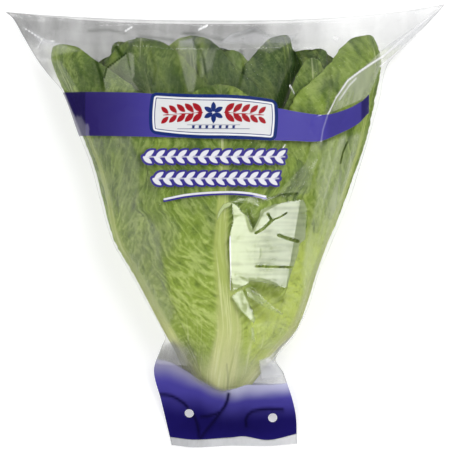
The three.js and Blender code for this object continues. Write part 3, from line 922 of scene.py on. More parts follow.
# The leaves' highest point in each square cell of the plan, which reaches this far from the middle.
headTop = {
    "cell": 1.5,
    "reach": 225,
    "gap": 0.9,  # the least room between the leaves and the film
    "softening": 14,
    "height": np.full((300, 300), -100.0),
}


def headCell(x, y):
    return ((np.stack([x, y]) + headTop["reach"]) / headTop["cell"]).astype(int)


for piece in bpy.data.objects:
    if piece.name.startswith("leafBlade"):
        spots = np.empty(len(piece.data.vertices) * 3, np.float32)
        piece.data.vertices.foreach_get("co", spots)
        spots = spots.reshape(-1, 3) / metre
        i, j = headCell(spots[:, 0], spots[:, 1])
        np.maximum.at(headTop["height"], (i, j), spots[:, 2])


def overHead(x, y, z):
    # Lifts the film off anything of the head that would come through it.
    i, j = headCell(x, y).clip(1, 298)
    top = headTop["height"]
    high = np.max([top[i + p, j + q] for p in (-1, 0, 1) for q in (-1, 0, 1)], 0)
    return z + soften(np.maximum(0, high + headTop["gap"] - z), headTop["softening"])


# The print, in the plan of the sleeve: a band with a panel on it, and two garlands and a line below.
printForm = {
    "bandTop": [
        [-138, 111.9], [-117, 112], [-61, 109.9], [41.5, 98.1], [60, 94.8], [84, 92.4], [102, 97.3],
        [115.5, 104.5], [121.6, 110.5],
    ],
    "bandFoot": [
        [-138, 75], [-117, 75.1], [-63, 73.7], [25, 71.3], [60, 70.2], [79.4, 70.2], [96.3, 76.8],
        [112, 85.2], [120.3, 93.7],
    ],
    "bandEnd": 121.5,
    "panel": (-9.6, 90.6),
    "panelHalf": (52.5, 18.6),
    "panelCorner": 5,
    "motifs": (-9.6, 94.0),  # the middle of what is on the panel
    "sprigs": {"pairs": 5, "start": 13.5, "step": 6.8, "apart": 4.2, "droop": 0.14, "lean": 0.75,
               "long": 5.6, "wide": 2.5, "stalk": [(9, 0), (42, -2.2)], "stalkHalf": 0.45},
    "bloom": {"petals": 6, "away": 4.9, "long": 4.3, "wide": 2.1},
    "lines": [(30, -13.8), (22, -10.2)],  # half length and height of each
    "beads": {"half": 3, "step": 5.6, "height": -12, "long": 1.7, "wide": 0.9},
    "garlands": [(57.0, -68, 50), (38.8, -60, 45)],  # height, start, end
    "garlandLeaf": {"step": 8.6, "ends": 4, "shift": 0.9, "apart": 2.7, "lean": 0.62, "long": 4.9,
                    "wide": 1.9, "stalkHalf": 0.5},
    "arc": [[-54.2, 20.4], [-30, 25.0], [0, 27.0], [20, 26.0], [37.5, 22.5]],
}


def lens(x, y, spot, turn, long, wide):
    # Inside is positive: a pointed leaf shape, its nearest edge in millimetres away.
    c, s = math.cos(turn), math.sin(turn)
    p = (x - spot[0]) * c + (y - spot[1]) * s
    q = (y - spot[1]) * c - (x - spot[0]) * s
    return wide * (1 - (p / long) ** 2) - np.abs(q)


def panelEdge(x, y):
    # How far inside the panel: a rounded oblong with bowed sides, its left end a little higher.
    form, corner = printForm, printForm["panelCorner"]
    px, py = x - form["panel"][0], y - form["panel"][1]
    bow = 1 - 0.07 * (px / form["panelHalf"][0]) ** 2
    qx = np.abs(px) - form["panelHalf"][0] + corner - 1.5 * np.cos(py / 11)
    qy = np.abs(py + 0.0012 * px * np.abs(px)) / bow - form["panelHalf"][1] + corner
    return corner - np.hypot(np.maximum(qx, 0), np.maximum(qy, 0)) - np.minimum(np.maximum(qx, qy), 0)


def sprigEdge(x, y):
    # A sprig of paired leaves on each side of the bloom.
    form, (cx, cy) = printForm["sprigs"], printForm["motifs"]
    found = []
    for side in (-1, 1):
        for i in range(form["pairs"]):
            for lean in (-1, 1):
                across = cx + side * (form["start"] + form["step"] * i)
                spot = (across, cy + lean * form["apart"] - form["droop"] * i * i)
                turn = side * lean * form["lean"] + (0 if side > 0 else math.pi)
                found.append(lens(x, y, spot, turn, form["long"] - 0.3 * i, form["wide"] - 0.12 * i))
        stalk = [(cx + side * away, cy + high) for away, high in form["stalk"]]
        found.append(form["stalkHalf"] - pathDistance(x, y, stalk))
    return np.max(found, 0)


def bloomEdge(x, y):
    # The bloom, and a row of beads between two lines under it.
    (cx, cy), bloom, beads = printForm["motifs"], printForm["bloom"], printForm["beads"]
    found = []
    for i in range(bloom["petals"]):
        turn = math.pi / 2 + i * math.pi / 3
        spot = (cx + bloom["away"] * math.cos(turn), cy + bloom["away"] * math.sin(turn))
        found.append(lens(x, y, spot, turn, bloom["long"], bloom["wide"]))
    for half, high in printForm["lines"]:
        found.append(0.45 - pathDistance(x, y, [(cx - half, cy + high), (cx + half, cy + high)]))
    for i in range(-beads["half"], beads["half"] + 1):
        spot = (cx + beads["step"] * i, cy + beads["height"])
        found.append(lens(x, y, spot, 0, beads["long"], beads["wide"]))
    return np.max(found, 0)


def garlandEdge(x, y):
    # Rows of paired leaves along a stalk.
    leaf = printForm["garlandLeaf"]
    found = []
    for height, start, end in printForm["garlands"]:
        count = int((end - start) / leaf["step"])
        for i in range(count):
            at = start + leaf["ends"] + (end - start - 2 * leaf["ends"]) * i / (count - 1)
            for lean in (-1, 1):
                spot = (at + lean * leaf["shift"], height + lean * leaf["apart"])
                found.append(lens(x, y, spot, lean * leaf["lean"], leaf["long"], leaf["wide"]))
        found.append(leaf["stalkHalf"] - pathDistance(x, y, [(start, height), (end, height)]))
    return np.max(found, 0)


def printValues(x, y):
    # For each printed form, how far inside its edge every point is.
    form = printForm
    top, foot = curve(form["bandTop"])(x), curve(form["bandFoot"])(x)
    arc = curve(form["arc"])(x)
    taper = smooth(-55, -50, x) * smooth(39, 33, x)
    return {
        "bandEdge": np.minimum(np.minimum(top - y, y - foot), form["bandEnd"] - x),
        # The band is darker where the film lies double at its left end, and by painted fold shade towards its
        # right end.
        "bandDark": smooth(-116, -119, x) + 0.35 * smooth(80, 88, x) + 0.65 * smooth(114, 116, x),
        "panelEdge": panelEdge(x, y),
        "sprigEdge": sprigEdge(x, y),
        "bloomEdge": bloomEdge(x, y),
        "garlandEdge": garlandEdge(x, y),
        "arcEdge": taper * 2 - 1.1 - np.abs(y - arc - 0.4),
        "arcShade": taper * 2.4 - 1.2 - np.abs(y - arc + 0.9),
    }


filmForm = {
    # The widths and lengths of the facets that the film breaks into.
    "coarseFacets": (17, 15),
    "fineFacets": (6.5, 5.7),
    "backFacets": (15, 13),
    "coarseTones": (13, 27),
    "fineTones": (7, 11),
    # Tension folds fan out from here: where, how many, how high, and how far off they start and end.
    "fans": [
        ((0, -150), 46, 1.0, 20, 110),
        ((-190, 184), 46, 0.7, 10, 150),
        ((190, 190), 46, 0.7, 10, 150),
    ],
    # A large flat facet, from a ridge over the middle rib down to the right.
    "facet": {
        "ridge": 4.2,
        "far": 60,
        "farLean": 0.166,
        "slope": 0.18,
        "rise": 0.087,
        "middle": -18,
        "height": 92.1,
        "ridgeEase": 7,
        "farEase": 9,
    },
    "neck": -118,
    "neckReach": 34,
    "tailFold": 1.6,
    "tailFoldWidth": 2.2,
    # Small flat facets: corners, and how they climb across and along the sleeve.
    "facets": [
        ([(20, -46), (28, -45), (42, -50), (52, -59), (50, -76), (34, -70), (22, -56)], -0.02, 0.24),
        ([(4.4, -50), (14.5, -52), (26.5, -81.5), (22.5, -84.5), (6, -62)], -0.22, 0.087),
        ([(15.5, -51), (21.5, -52), (52, -75), (49, -78)], -0.22, 0.087),
        ([(20.5, -84), (23.5, -85), (27.5, -101), (25, -101)], -0.22, 0.087),
    ],
    # Short folds across these facets: path, height, half width.
    "wrinkles": [
        ([(17, 16), (22.5, -3), (31, 13), (45, 21)], 1.0, 2.6),
        ([(30, -22), (52, -20)], 0.12, 2.0),
        ([(12, -12), (34, -16)], 0.12, 2.5),
        ([(10, -42), (28, -44)], 0.15, 2.5),
    ],
}
# The tail is the printed foot of the sleeve. Its folds, and across it the top of the plain strip at its
# foot and where the print starts.
tailFolds = [
    [(-55.4, -145), (-50.7, -145), (-45.8, -145.8), (-40.5, -148.2), (-35.2, -151.8), (-30.3, -156.7),
     (-26.7, -162.1), (-24.1, -168.4), (-22.8, -174.8), (-22.4, -181.2)],
    [(-20.3, -163.5), (-13.9, -162.7), (-8.5, -161.2), (-3.2, -158.2), (0, -153.5), (2.1, -148.2),
     (3, -142.4)],
    [(-1.7, -155.7), (-6.4, -163.1), (-12.8, -171.6), (-20.9, -182.3)],
    [(18.1, -171.6), (17.7, -166.3), (19.6, -161.6), (23.5, -158.6), (29.9, -157.4), (38.4, -156.9),
     (49, -157.8)],
]
stripTop = curve([
    [-47.8, -181.6], [-26.6, -184.0], [5.2, -182.1], [16.3, -181.2], [36.8, -184.4], [62.4, -178.9],
])
tailTop = curve([
    [-61, -112], [-45, -114.5], [-20, -129], [0, -137], [8, -137], [20, -135], [31, -135], [55, -134],
])


def tailValues(x, y):
    # How far down the tail's print each point is, above or below the plain strip, and on a fold.
    folds = np.max([bell(pathDistance(x, y, path), 1.5) for path in tailFolds], 0)
    deep = tailTop(x) - y + 1.2 * noise(x / 14, y / 14, 31)
    soft = 8 - 6.6 * smooth(-4, 8, x)  # the print fades in on the left and starts at a fold on the right
    return {
        "tailFade": deep / soft,
        "tailDepth": deep / (20 + 10 * smooth(-20, -45, x)),
        "stripEdge": y - stripTop(x),
        "tailFold": folds,
    }


creases = [  # path, lift, half width
    ([(184, 186), (134.9, 143.6), (113.1, 129.1), (103.1, 121.5), (93, 106.4), (86.3, 93), (82.2, 78),
      (76, 38)], 3, 13),
    ([(174.3, 171.8), (148.3, 148.3), (131.6, 134.1)], 2, 8),
    ([(-186, 180), (-120, 150), (-60, 156)], 1.5, 10),
]
# Outlines in plan, in millimetres. Where a painted reflection makes the film look white over the head; how
# white.
paintedReflections = [
    ([(6, 18.1), (9.9, 16.1), (13.9, 10.7), (19.1, 7.3), (21.4, 0.8), (23.4, -3.8), (25.8, 0.8),
      (28.6, 6.7), (29.8, 12.7), (41.3, 17.3), (53.2, 19.6), (65.5, 21.2), (68.7, 13.7), (67.9, 1.8),
      (67.1, -12.1), (62.3, -15.7), (61.1, -24), (58.4, -32), (55.2, -39.9), (51.6, -52.6), (43.7, -50.8),
      (31.4, -47.8), (21.4, -46.6), (17.1, -50.2), (6.7, -54.2), (4.8, -39.9), (3.6, -20), (4, -8.1),
      (7.1, 3.8)], 1),
    ([(-6.8, 3.4), (-5.6, 10.7), (-1.4, 17.3), (4, 19.1), (6, 18.1), (3.6, 15.3), (-0.4, 13.7),
      (-3.6, 9.3)], 0.9),
    ([(5.2, -59.8), (9.5, -56.6), (14.5, -53.8), (16.5, -57.8), (21.4, -67.7), (25.4, -77.6),
      (24.4, -82.6), (21.4, -79.6), (11.5, -69.7)], 1),
    ([(16.5, -52.8), (20.4, -51.8), (27.4, -57.8), (39.3, -66.7), (50.2, -75.6), (47.2, -75.2),
      (31.4, -67.7), (19.5, -59.8)], 0.65),
    ([(21.4, -84.6), (23.9, -85.6), (25.9, -100.4), (22.4, -95.5)], 0.8),
    ([(6.5, 19.1), (10.5, 22), (21.4, 23.2), (27.8, 21.2), (29, 14.7), (21.4, 18.7), (13.5, 19.6)], 0.45),
    ([(72.1, 68.3), (78.2, 68.9), (77.4, 55.4), (73, 39.5), (71.1, 27.2), (65.1, 24.6), (57.2, 27.2),
      (41.3, 22.6), (49.2, 32.6), (57.2, 41.5), (67.1, 51.4)], 0.4),
]
# Breaks in the painted reflection, where the leaves show through.
paintedReflectionGaps = [  # path, half width
    ([(44.9, -8.5), (52.2, -11.1), (61.1, -13.7)], 1.5),
    ([(25.8, -34.5), (56.2, -35.3)], 1.0),
    ([(25.8, -6.6), (32.4, -2.6), (38.9, 3.8), (35.7, 9.3)], 1.3),
    ([(39.3, 4.2), (45.3, 6.2), (51.6, 10.1)], 0.8),
]
# Single flat facets that stand out: outline, how much they cover, how pale, how soft their edges are. Their
# paleness is painted sheen on the film's haze, and painted shade where it is low.
veils = [
    ([(79, 69.3), (118.7, 79.2), (116.7, 71.3), (102.8, 33.5), (94.9, 3.8), (85, -20), (77, -39.9),
      (71.1, -59.8), (65.1, -79.6), (57.2, -89.5), (66.1, -57.8), (64.1, -39.9), (65.5, -24),
      (68.1, -12.1), (71.1, -0.2), (75, 19.6), (77, 39.5), (79, 59.4)], 0.24, 0.95, 3),
    ([(86.3, 93), (103.1, 121.5), (113.1, 129.1), (133.2, 148.3), (185.2, 185.2), (173.5, 170.1),
      (131.6, 133.2), (121.5, 108.1)], 0.3, 0.85, 0.8),
    ([(24.4, -82.6), (50.2, -77.6), (57.2, -89.5), (47.2, -104.2), (27.4, -104.2)], 0.14, 0.8, 2),
    ([(-119.9, 73.9), (-79.2, 73.9), (-71.6, 50.8), (-71.6, 16.7), (-54.5, -4.2), (-52.6, -26.9),
      (-46.9, -53.5), (-42.2, -72.4), (-48.8, -89.5), (-69.7, -57.2), (-92.4, -17.4),
      (-105.7, 31.8)], 0.26, 0.42, 3),
    ([(-79.2, 73.9), (-60.2, 73.9), (-58.3, 35.6), (-50.7, 16.7), (-35.6, -2.3), (-46.9, -26.9),
      (-52.6, -26.9), (-54.5, -4.2), (-71.6, 16.7), (-71.6, 50.8)], 0.1, 0.35, 4),
    ([(-100.6, 130.7), (-83, 144.1), (-77.9, 121.5), (-71.2, 112.3), (-101.4, 112.3),
      (-102.7, 123.2)], 0.12, 0.55, 0.6),
    ([(-38.5, 155), (-27.7, 156.4), (-23.5, 145), (-24, 121.5), (-26, 110.6), (-31, 110.6),
      (-34.4, 124.9), (-40.2, 146.7)], 0.2, 0.45, 1.2),
    ([(-20.9, 146.7), (-6.7, 148), (-10.9, 131.6), (-20.1, 123.2)], 0.12, 0.45, 2),
    ([(-81.3, 145), (-76.3, 143.3), (-75.9, 124.9), (-77.9, 121.5)], 0.14, 0.6, 0.6),
    ([(-151.7, 143.3), (-138.3, 138.3), (-123.2, 113.1), (-126.5, 110.6), (-139.9, 116.5),
      (-148.3, 128.2)], 0.1, 0.6, 1.5),
    ([(-166.8, 166.8), (-151.7, 157.5), (-121.5, 146.7), (-139.9, 144.1),
      (-146.7, 141.6)], 0.08, 0.9, 1.5),
    ([(-5.9, 152.5), (4.2, 160.9), (26, 166.8), (41.1, 158.4), (61.2, 160.9), (54.5, 152.5),
      (37.7, 144.1), (24.3, 148.3), (14.2, 152.5)], 0.2, 0.4, 1.5),
    ([(29, -114), (36, -112), (48, -119), (52, -128), (31, -131)], 0.5, 0.95, 1.2),
    ([(-52, -104), (-44, -98), (-34, -112), (-24, -124), (-12, -137), (-30, -128),
      (-50, -116)], 0.2, 0.05, 1.5),
]
# Painted highlights along sharp folds of the film.
shines = [  # bright lines along sharp folds: path, half width, strength
    ([(184, 186), (155, 161.7), (134.9, 143.6), (113.1, 129.1), (103.1, 121.5), (93, 106.4), (86.3, 93)],
     0.55, 0.9),
    ([(86.3, 93), (82, 80), (80.5, 70)], 0.5, 0.5),
    ([(110, 123), (104.8, 117.8), (96, 105)], 0.6, 0.3),
    ([(174.3, 171.8), (148.3, 148.3), (131.6, 134.1)], 0.6, 0.6),
    ([(54.5, 116.5), (58.2, 109.8)], 0.5, 0.5),
    ([(92.2, 158.4), (95, 156.4)], 0.8, 0.7),
    ([(50.3, 67), (48.1, 63.7), (50.3, 58.7)], 0.5, 0.8),
    ([(-84.6, 163.4), (-77.9, 167.6)], 0.5, 0.6),
    ([(-21.8, 164.8), (-15.1, 168.1)], 0.7, 0.7),
    ([(-145, 155.9), (-155, 157.5), (-161.7, 161.7), (-171.8, 168.4)], 0.5, 0.3),
    ([(-155, 157.5), (-160.1, 150)], 0.5, 0.25),
    ([(4.2, -10), (4.6, -54)], 0.45, 0.6),
    ([(36, -114), (50, -101), (62, -88), (69, -74)], 1.6, 0.35),
]
shades = [  # dark lines: painted shade in gaps between leaves, darker patches of leaf, and where the film is folded on itself: path, half width, strength
    ([(-71.2, 158.4), (-54.5, 157), (-43.6, 155.4)], 1.6, 0.3),
    ([(-34.4, 161.4), (-20.9, 160.1), (-2.5, 155.4)], 2.0, 0.26),
    ([(-114.8, 164.2), (-98, 164.8), (-84.6, 161.4)], 1.4, 0.2),
    ([(7.5, 158.4), (24.3, 163.4), (47.8, 156.7), (59.5, 154.2)], 2.2, 0.17),
    ([(-101.4, 124), (-99.5, 131.5), (-83, 144.1)], 0.6, 0.7),
    ([(59, 143), (61, 135), (54, 124), (49, 112), (44, 98)], 4, 0.55),
    ([(88, 131), (90, 118), (92, 108)], 1.6, 0.3),
    ([(-91, 149), (-87, 143)], 1.8, 0.6),
    ([(-108, 137), (-104, 125), (-102, 113)], 1.8, 0.5),
    ([(97, 52), (99, 61), (103, 70)], 0.8, 0.6),
    ([(26, -53), (40, -56), (47, -62)], 5, 0.4),
    ([(25, -69), (34, -77)], 5, 0.35),
    ([(20, 11), (23, 2)], 2.2, 0.4),
    ([(-88, 68), (-83, 50), (-80, 36)], 3.5, 0.16),
    ([(-32, 71), (-24, 62), (-20, 30)], 3, 0.22),
    ([(2, 72), (3, 60), (7, 30)], 3, 0.25),
    ([(24, 70), (19, 50), (17, 30)], 2.5, 0.22),
    ([(46, 68), (40, 48), (36, 30)], 3, 0.25),
    ([(66, 68), (62, 48), (60, 34)], 3, 0.2),
    ([(-48, 50), (-38, 30), (-26, 12)], 3.5, 0.2),
    ([(-20, 20), (-12, 6), (-9, -6)], 3, 0.2),
    ([(32, 21), (46, 25), (60, 26)], 1.3, 0.45),
    ([(-62, 34), (-54, 0), (-42, -34)], 9, 0.12),
    ([(1.5, -117), (2.6, -130), (2.2, -143)], 0.8, 0.25),
    ([(-63, 146), (-58, 132), (-60, 118)], 2.2, 0.28),
    ([(-22, 150), (-18, 140), (-16, 126)], 1.8, 0.28),
    ([(13, 146), (16, 132), (12, 116)], 2.4, 0.32),
]


def drawn(x, y, lines):
    # How strongly the nearest of the lines shows at each point.
    return np.max([strength * bell(pathDistance(x, y, path), width) for path, width, strength in lines], 0)


def veilValues(x, y, rows, columns):
    # What the film hides and how pale it is there, part by part. The haze is painted paler as sheen, more so
    # towards the right.
    mouth = smooth(104, 122, y)
    tones = facetNet(rows, columns, filmForm["coarseTones"], 21)
    tones = tones + 0.6 * facetNet(rows, columns, filmForm["fineTones"], 22)
    neck = smooth(-88, -112, y)
    strip = smooth(0.6, -0.6, y - stripTop(x))
    right = smooth(20, 120, x)
    veil = 0.09 + mouth * (0.16 - 0.08 * right) + 0.14 * smooth(146, 156, y) * (1 - 0.5 * right)
    streaks = noise((x - 0.25 * y) / 4.5, y / 50, 63) * (1 - mouth) * (1 - neck)
    veil = veil + (0.04 + 0.16 * smooth(60, 85, x)) * streaks
    veil = veil + neck * (0.14 + 0.42 * smooth(-20, -36, x)) + 0.3 * strip + 0.04 * tones
    pale = 0.18 + 0.3 * smooth(-20, 60, x) * (1 - mouth) + mouth * (0.32 * right - 0.1)
    pale = pale + neck * (0.6 * smooth(-30, 10, x) - 0.1) + 0.6 * strip + 0.12 * tones
    for outline, cover, light, softness in veils:
        inside = smooth(-softness, softness, inOutline(x, y, outline))
        veil = veil + inside * cover
        pale = pale + inside * (light - pale)
    # The painted reflection, fainter towards the right and streaked, and the gaps that break it.
    paintedReflection = np.max([white * smooth(-0.5, 0.6, inOutline(x, y, outline)) for outline, white in paintedReflections], 0)
    gap = np.min([pathDistance(x, y, path) - width for path, width in paintedReflectionGaps], 0)
    ripples = 0.28 * ripple(x, y, (26, 3.1), 61)
    paintedReflection = paintedReflection * (0.94 - 0.21 * smooth(12, 40, x) + ripples + 0.16 * tones)
    return {
        "veil": np.clip(veil, 0.03, 0.7),
        "pale": np.clip(pale, 0, 1),
        "paintedReflection": np.clip(paintedReflection, 0, 1),
        "paintedReflectionGap": np.minimum(gap, 9),
        "shine": drawn(x, y, shines),
        "shade": drawn(x, y, shades),
    }


def creaseShare(lift, x, rows):
    # How sharply the film is folded at each point, 0 to 1.
    lift = soften(lift, 2)
    across, along = np.gradient(x, axis=1), np.gradient(rows)[:, None]
    wide = np.pad(lift, 1, mode="edge")
    bend = np.abs(wide[1:-1, 2:] + wide[1:-1, :-2] - 2 * lift) / across
    bend = bend + np.abs(wide[2:, 1:-1] + wide[:-2, 1:-1] - 2 * lift) / along
    return soften(smooth(0.12, 0.5, bend) * smooth(-125, -105, rows)[:, None], 1)


def largeFacet(x, y, z, rows):
    # The film with the large facet laid into it; on both of its sides the film eases back.
    facet = filmForm["facet"]
    ridgeX, farX = facet["ridge"], facet["far"] + facet["farLean"] * rows[:, None]
    every = np.arange(len(rows))
    ridge = facet["height"] + facet["rise"] * (y - facet["middle"])
    plane = ridge - facet["slope"] * (x - ridgeX)
    atRidge = z[every, np.abs(x - ridgeX).argmin(1)][:, None]
    atFar = z[every, np.abs(x - farX).argmin(1)][:, None]
    nearLift = np.maximum(0, ridge - atRidge)
    farLift = ridge - facet["slope"] * (farX - ridgeX) - atFar
    lift = np.where(x < ridgeX, nearLift * np.exp((x - ridgeX) / facet["ridgeEase"]), plane - z)
    lift = np.where(x > farX, farLift * np.exp((farX - x) / facet["farEase"]), lift)
    return z + lift * smooth(-66, -54, y) * smooth(46, 22, y)


def smallFacets(x, y, z):
    # Lays each small facet into the film, through the height at its middle, and adds the short folds.
    for corners, climbX, climbY in filmForm["facets"]:
        inside = smooth(-0.6, 0.6, inOutline(x, y, corners))
        cx, cy = np.mean(corners, 0)
        middle = z[np.unravel_index(np.hypot(x - cx, y - cy).argmin(), x.shape)]
        z = z + inside * (middle + climbX * (x - cx) + climbY * (y - cy) - z)
    for path, height, width in filmForm["wrinkles"]:
        z = z + height * np.maximum(0, 1 - pathDistance(x, y, path) / width)
    return z


def coarseWeight(px, py):
    # The coarse facets stand out most at the neck and the mouth, and least on the white patch.
    neck = bell(py - filmForm["neck"], filmForm["neckReach"])
    onPatch = smooth(0, 8, px) * smooth(66, 58, px) * smooth(-66, -56, py) * smooth(40, 30, py)
    return (0.55 + 1.5 * neck + 0.5 * smooth(130, 165, py)) * (1 - 0.85 * onPatch)


def fineWeight(px, py):
    return 0.14 + 0.4 * bell(py + 115, 30) + 0.22 * smooth(50, 80, px) * smooth(130, 110, py)


def frontFolds(x, y, rows, columns):
    # How far facets and folds lift the front sheet.
    lift = facetNet(rows, columns, filmForm["coarseFacets"], 5, coarseWeight)
    lift = lift + facetNet(rows, columns, filmForm["fineFacets"], 6, fineWeight)
    for (cx, cy), count, height, near, far in filmForm["fans"]:
        away = np.hypot(x - cx, y - cy)
        around = np.arctan2(y - cy, x - cx)
        fan = 0.35 - np.abs(noise(around * count / 6.3, away / 90, count + (cx > 0)))
        lift = lift + height * fan * smooth(near * 0.3, near, away) * smooth(far, far * 0.3, away)
    for path, height, width in creases:
        lift = lift + height * np.maximum(0, 1 - pathDistance(x, y, path) / width)
    for path in tailFolds:
        lift = lift + filmForm["tailFold"] * bell(pathDistance(x, y, path), filmForm["tailFoldWidth"])
    return lift * smooth(-189, -180, rows)[:, None]


def frontSheet():
    rows = np.unique(np.concatenate([np.linspace(*span) for span in sleeveForm["rows"]]))
    columns = sleeveForm["columns"]
    x, y, z = sheetGrid(1, rows, columns)
    share = np.linspace(-1, 1, columns + 1)[None, :]
    z = smallFacets(x, y, largeFacet(x, y, z, rows))
    lift = frontFolds(x, y, rows, columns)
    z = overHead(x, y, z + smooth(1, 0.93, np.abs(share)) * lift)
    values = printValues(x, y) | tailValues(x, y) | veilValues(x, y, rows, columns)
    values["crease"] = creaseShare(lift, x, rows)
    toSide = (1 - np.abs(share)) * (sleeveRight(rows) - sleeveLeft(rows))[:, None] / 2
    values["weld"] = np.maximum(bell(toSide, 0.9), 0.6 * bell(rows[-1] - rows[:, None], 0.8))
    return x, y, z, values


def sheetPiece(name, grid, material, tailMaterial):
    x, y, z, values = grid
    points = np.stack([x, y, z], -1).reshape(-1, 3)
    faces = gridFaces(*x.shape)
    # The vents are real openings: faces go, and what is left of their rims is drawn onto the circle.
    keep = np.ones(len(faces), bool)
    for cx, cy in sleeveForm["vents"]:
        radius = sleeveForm["ventRadius"]
        away = np.hypot(points[:, 0] - cx, points[:, 1] - cy)
        within = away < radius
        drop = within[faces].any(1)
        rim = np.unique(faces[drop])
        rim = rim[~within[rim]]
        keep &= ~drop
        scale = radius / away[rim]
        points[rim, 0] = cx + (points[rim, 0] - cx) * scale
        points[rim, 1] = cy + (points[rim, 1] - cy) * scale
    faces = faces[keep]
    used = np.unique(faces)
    number = np.zeros(len(points), int)
    number[used] = np.arange(len(used))
    values = {label: np.broadcast_to(v, x.shape).ravel()[used] for label, v in values.items()}
    piece = meshPiece(name, points[used], number[faces], values, material)
    piece.data.materials.append(tailMaterial)
    inTail = points[faces[:, 0], 1] < sleeveForm["tailEnd"]
    piece.data.polygons.foreach_set("material_index", inTail.astype(np.int32))
    return piece


filmColours = {
    "clear": (0.11, 0.11, 0.105),
    "pale": (0.78, 0.83, 0.62),  # over the head, whose green shows through
    "paleBeyond": (0.76, 0.77, 0.8),
    "paintedReflection": (0.48, 0.565, 0.275),
    "paintedReflectionFar": (0.385, 0.445, 0.265),  # at the far side of the white patch
    "dull": (0.014, 0.028, 0.009),
    "weld": (0.32, 0.33, 0.34),
    "shine": (0.9, 0.9, 0.9),
    "tailStart": (0.34, 0.33, 0.47),
    "tailStartFar": (0.6, 0.6, 0.82),
    "violet": (0.075, 0.062, 0.36),
    "violetDeep": (0.012, 0.008, 0.115),
    "violetFoldShade": (0.006, 0.004, 0.045),
    "band": (0.028, 0.018, 0.135),
    "bandDark": (0.012, 0.008, 0.06),
    "bandShine": (0.6, 0.6, 0.75),
    "navy": (0.012, 0.028, 0.16),
    "rim": (0.85, 0.86, 0.88),
    "paper": (0.74, 0.75, 0.76),
    "sprigs": (0.36, 0.012, 0.02),
    "outline": (0.045, 0.035, 0.25),
    "garlands": (0.78, 0.78, 0.82),
}


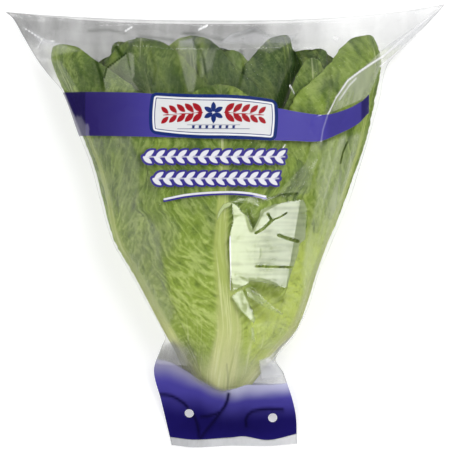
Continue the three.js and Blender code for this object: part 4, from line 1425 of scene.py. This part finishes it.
def filmFinish(name, printed, fixed):
    def build(shade):
        def tint(name):
            return shade.colour(*filmColours[name])

        def edge(name, soft=0.25):
            return shade.value(name).step(-0.2, soft)

        spot = shade.spot()
        cloud = spot.scaled((60.0, 22.0, 1.0)).speckle(1.0, 4.0)
        spotX, spotY = spot.part(0), spot.part(1)
        veil, crease, weld = shade.value("veil"), shade.value("crease"), shade.value("weld")
        shine, dull = shade.value("shine"), shade.value("shade")
        paintedReflection = shade.value("paintedReflection") * shade.value("paintedReflectionGap").step(-0.35, 0.35)
        # The clear film's colour and how much it hides.
        beyondHead = spotY.step(-0.105, -0.12) + spotY.step(0.145, 0.155)
        clear = tint("clear").blend(tint("pale").blend(tint("paleBeyond"), beyondHead), shade.value("pale"))
        # The painted reflection turns the film a pale green-white over the head.
        white = tint("paintedReflection").blend(tint("paintedReflectionFar"), spotX.step(0.01, 0.05))
        clear = clear.blend(white, paintedReflection.step(0.0, 0.25))
        # Painted shade in the gaps between leaves, and darker patches of leaf, along the dark lines.
        clear = clear.blend(tint("dull"), dull.step(0.0, 0.35))
        clear = clear.blend(tint("weld"), weld)
        # Painted highlights along the shines and on sharply bent film.
        clear = clear.blend(tint("shine"), shine.step(0.0, 0.2).largest(crease * 0.6))
        hiding = veil * (0.8 + 0.4 * cloud.step(0.15, 0.85)) + 0.85 * paintedReflection + 0.8 * shine
        hiding = (hiding + 0.85 * dull + 0.4 * weld + 0.25 * crease).step(0.0, 1.0) * 0.9
        # The tail's print fades in and gets deeper towards the foot.
        ink = shade.value("tailFade").step(0.0, 1.0) * shade.value("stripEdge").step(-0.3, 0.3)
        depth = shade.value("tailDepth")
        violet = tint("tailStart").blend(tint("tailStartFar"), spotX.step(-0.004, 0.012))
        violet = violet.blend(tint("violet"), depth.step(0.0, 0.75))
        violet = violet.blend(tint("violetDeep"), depth.step(0.6, 1.7))
        # Painted shade along the tail's folds, where the printed film also lies double.
        violet = violet.blend(tint("violetFoldShade"), shade.value("tailFold"))
        whole = clear.blend(violet, ink.step(0.0, 0.3))
        cover = ink
        if printed:
            band = shade.value("bandEdge").step(-0.3, 0.3)
            purple = tint("band").blend(tint("violet"), spotX.step(-0.118, -0.03))
            # Darker at the band's ends: a double layer at the left, painted fold shade at the right.
            purple = purple.blend(tint("bandDark"), shade.value("bandDark").step(0.0, 1.0) * 0.75)
            # From its edge inwards, the panel has a navy rim, a pale line, a navy line and then paper.
            panelEdge = shade.value("panelEdge")
            panel = panelEdge.step(-0.2, 0.2)
            inside = tint("navy").blend(tint("rim"), panelEdge.step(2.7, 3.1))
            inside = inside.blend(tint("navy"), panelEdge.step(4.3, 4.6) * panelEdge.step(5.3, 5.0))
            inside = inside.blend(tint("paper"), panelEdge.step(5.2, 5.5))
            inside = inside.blend(tint("sprigs"), edge("sprigEdge"))
            inside = inside.blend(tint("navy"), edge("bloomEdge"))
            garland = shade.value("garlandEdge")
            outline = garland.step(-2.3, -1.8)
            arcLine, arcShade = edge("arcEdge"), edge("arcShade", 0.3)
            whole = whole.blend(purple, band).blend(inside, panel)
            whole = whole.blend(tint("outline"), outline.largest(arcShade))
            whole = whole.blend(tint("garlands"), garland.step(-0.3, 0.3).largest(arcLine))
            # A painted highlight where a shine crosses the band.
            whole = whole.blend(tint("bandShine"), shine * band * 0.6)
            cover = band.largest(panel, outline.largest(arcShade), arcLine, ink)
        return {
            "Base Color": whole,
            "Alpha": hiding + (0.96 - hiding) * cover,
            "Roughness": 0.09 + 0.08 * cloud + 0.03 * paintedReflection,
        }

    return finish(name, fixed, build)


def backSheet():
    form = sleeveForm
    rows = np.linspace(form["foot"], form["mouth"], form["backRows"])
    x, y, z = sheetGrid(-1, rows, form["backColumns"])

    def loose(px, py):
        neck = bell(py - filmForm["neck"], filmForm["neckReach"])
        return 0.3 + 0.9 * smooth(110, 160, py) + 0.4 * neck

    lift = facetNet(rows, form["backColumns"], filmForm["backFacets"], 15, loose)
    share = np.linspace(-1, 1, form["backColumns"] + 1)[None, :]
    calm = smooth(1, 0.93, np.abs(share)) * smooth(-189, -180, rows)[:, None]
    z = np.maximum(form["least"], z + lift * calm * smooth(form["least"], 4, z))
    ends = smooth(115, 135, y) + smooth(-95, -115, y)
    cloudy = 0.05 * layeredNoise(x / 30, y / 60, 50)
    values = tailValues(x, y) | {
        "crease": 0.5 * creaseShare(lift, x, rows),
        "veil": 0.12 + ends * (0.4 - 0.3 * smooth(20, 100, x)) + cloudy,
        # Paler towards the right: painted sheen.
        "pale": 0.05 + 0.3 * smooth(20, 120, x),
    }
    values |= {label: np.zeros_like(x) for label in ("weld", "paintedReflection", "paintedReflectionGap", "shine", "shade")}
    return x, y, z, values


glossy = {"IOR": 1.8}
satin = {"IOR": 1.5, "Specular IOR Level": 0.0}
printedFilm, printedTail = filmFinish("printedFilm", True, glossy), filmFinish("printedTail", False, satin)
clearFilm, plainTail = filmFinish("clearFilm", False, glossy), filmFinish("plainTail", False, satin)
front = sheetPiece("filmFront", frontSheet(), printedFilm, printedTail)
back = sheetPiece("filmBack", backSheet(), clearFilm, plainTail)
for piece in (front, back):
    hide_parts("film_sleeve")
print("sleeve made")
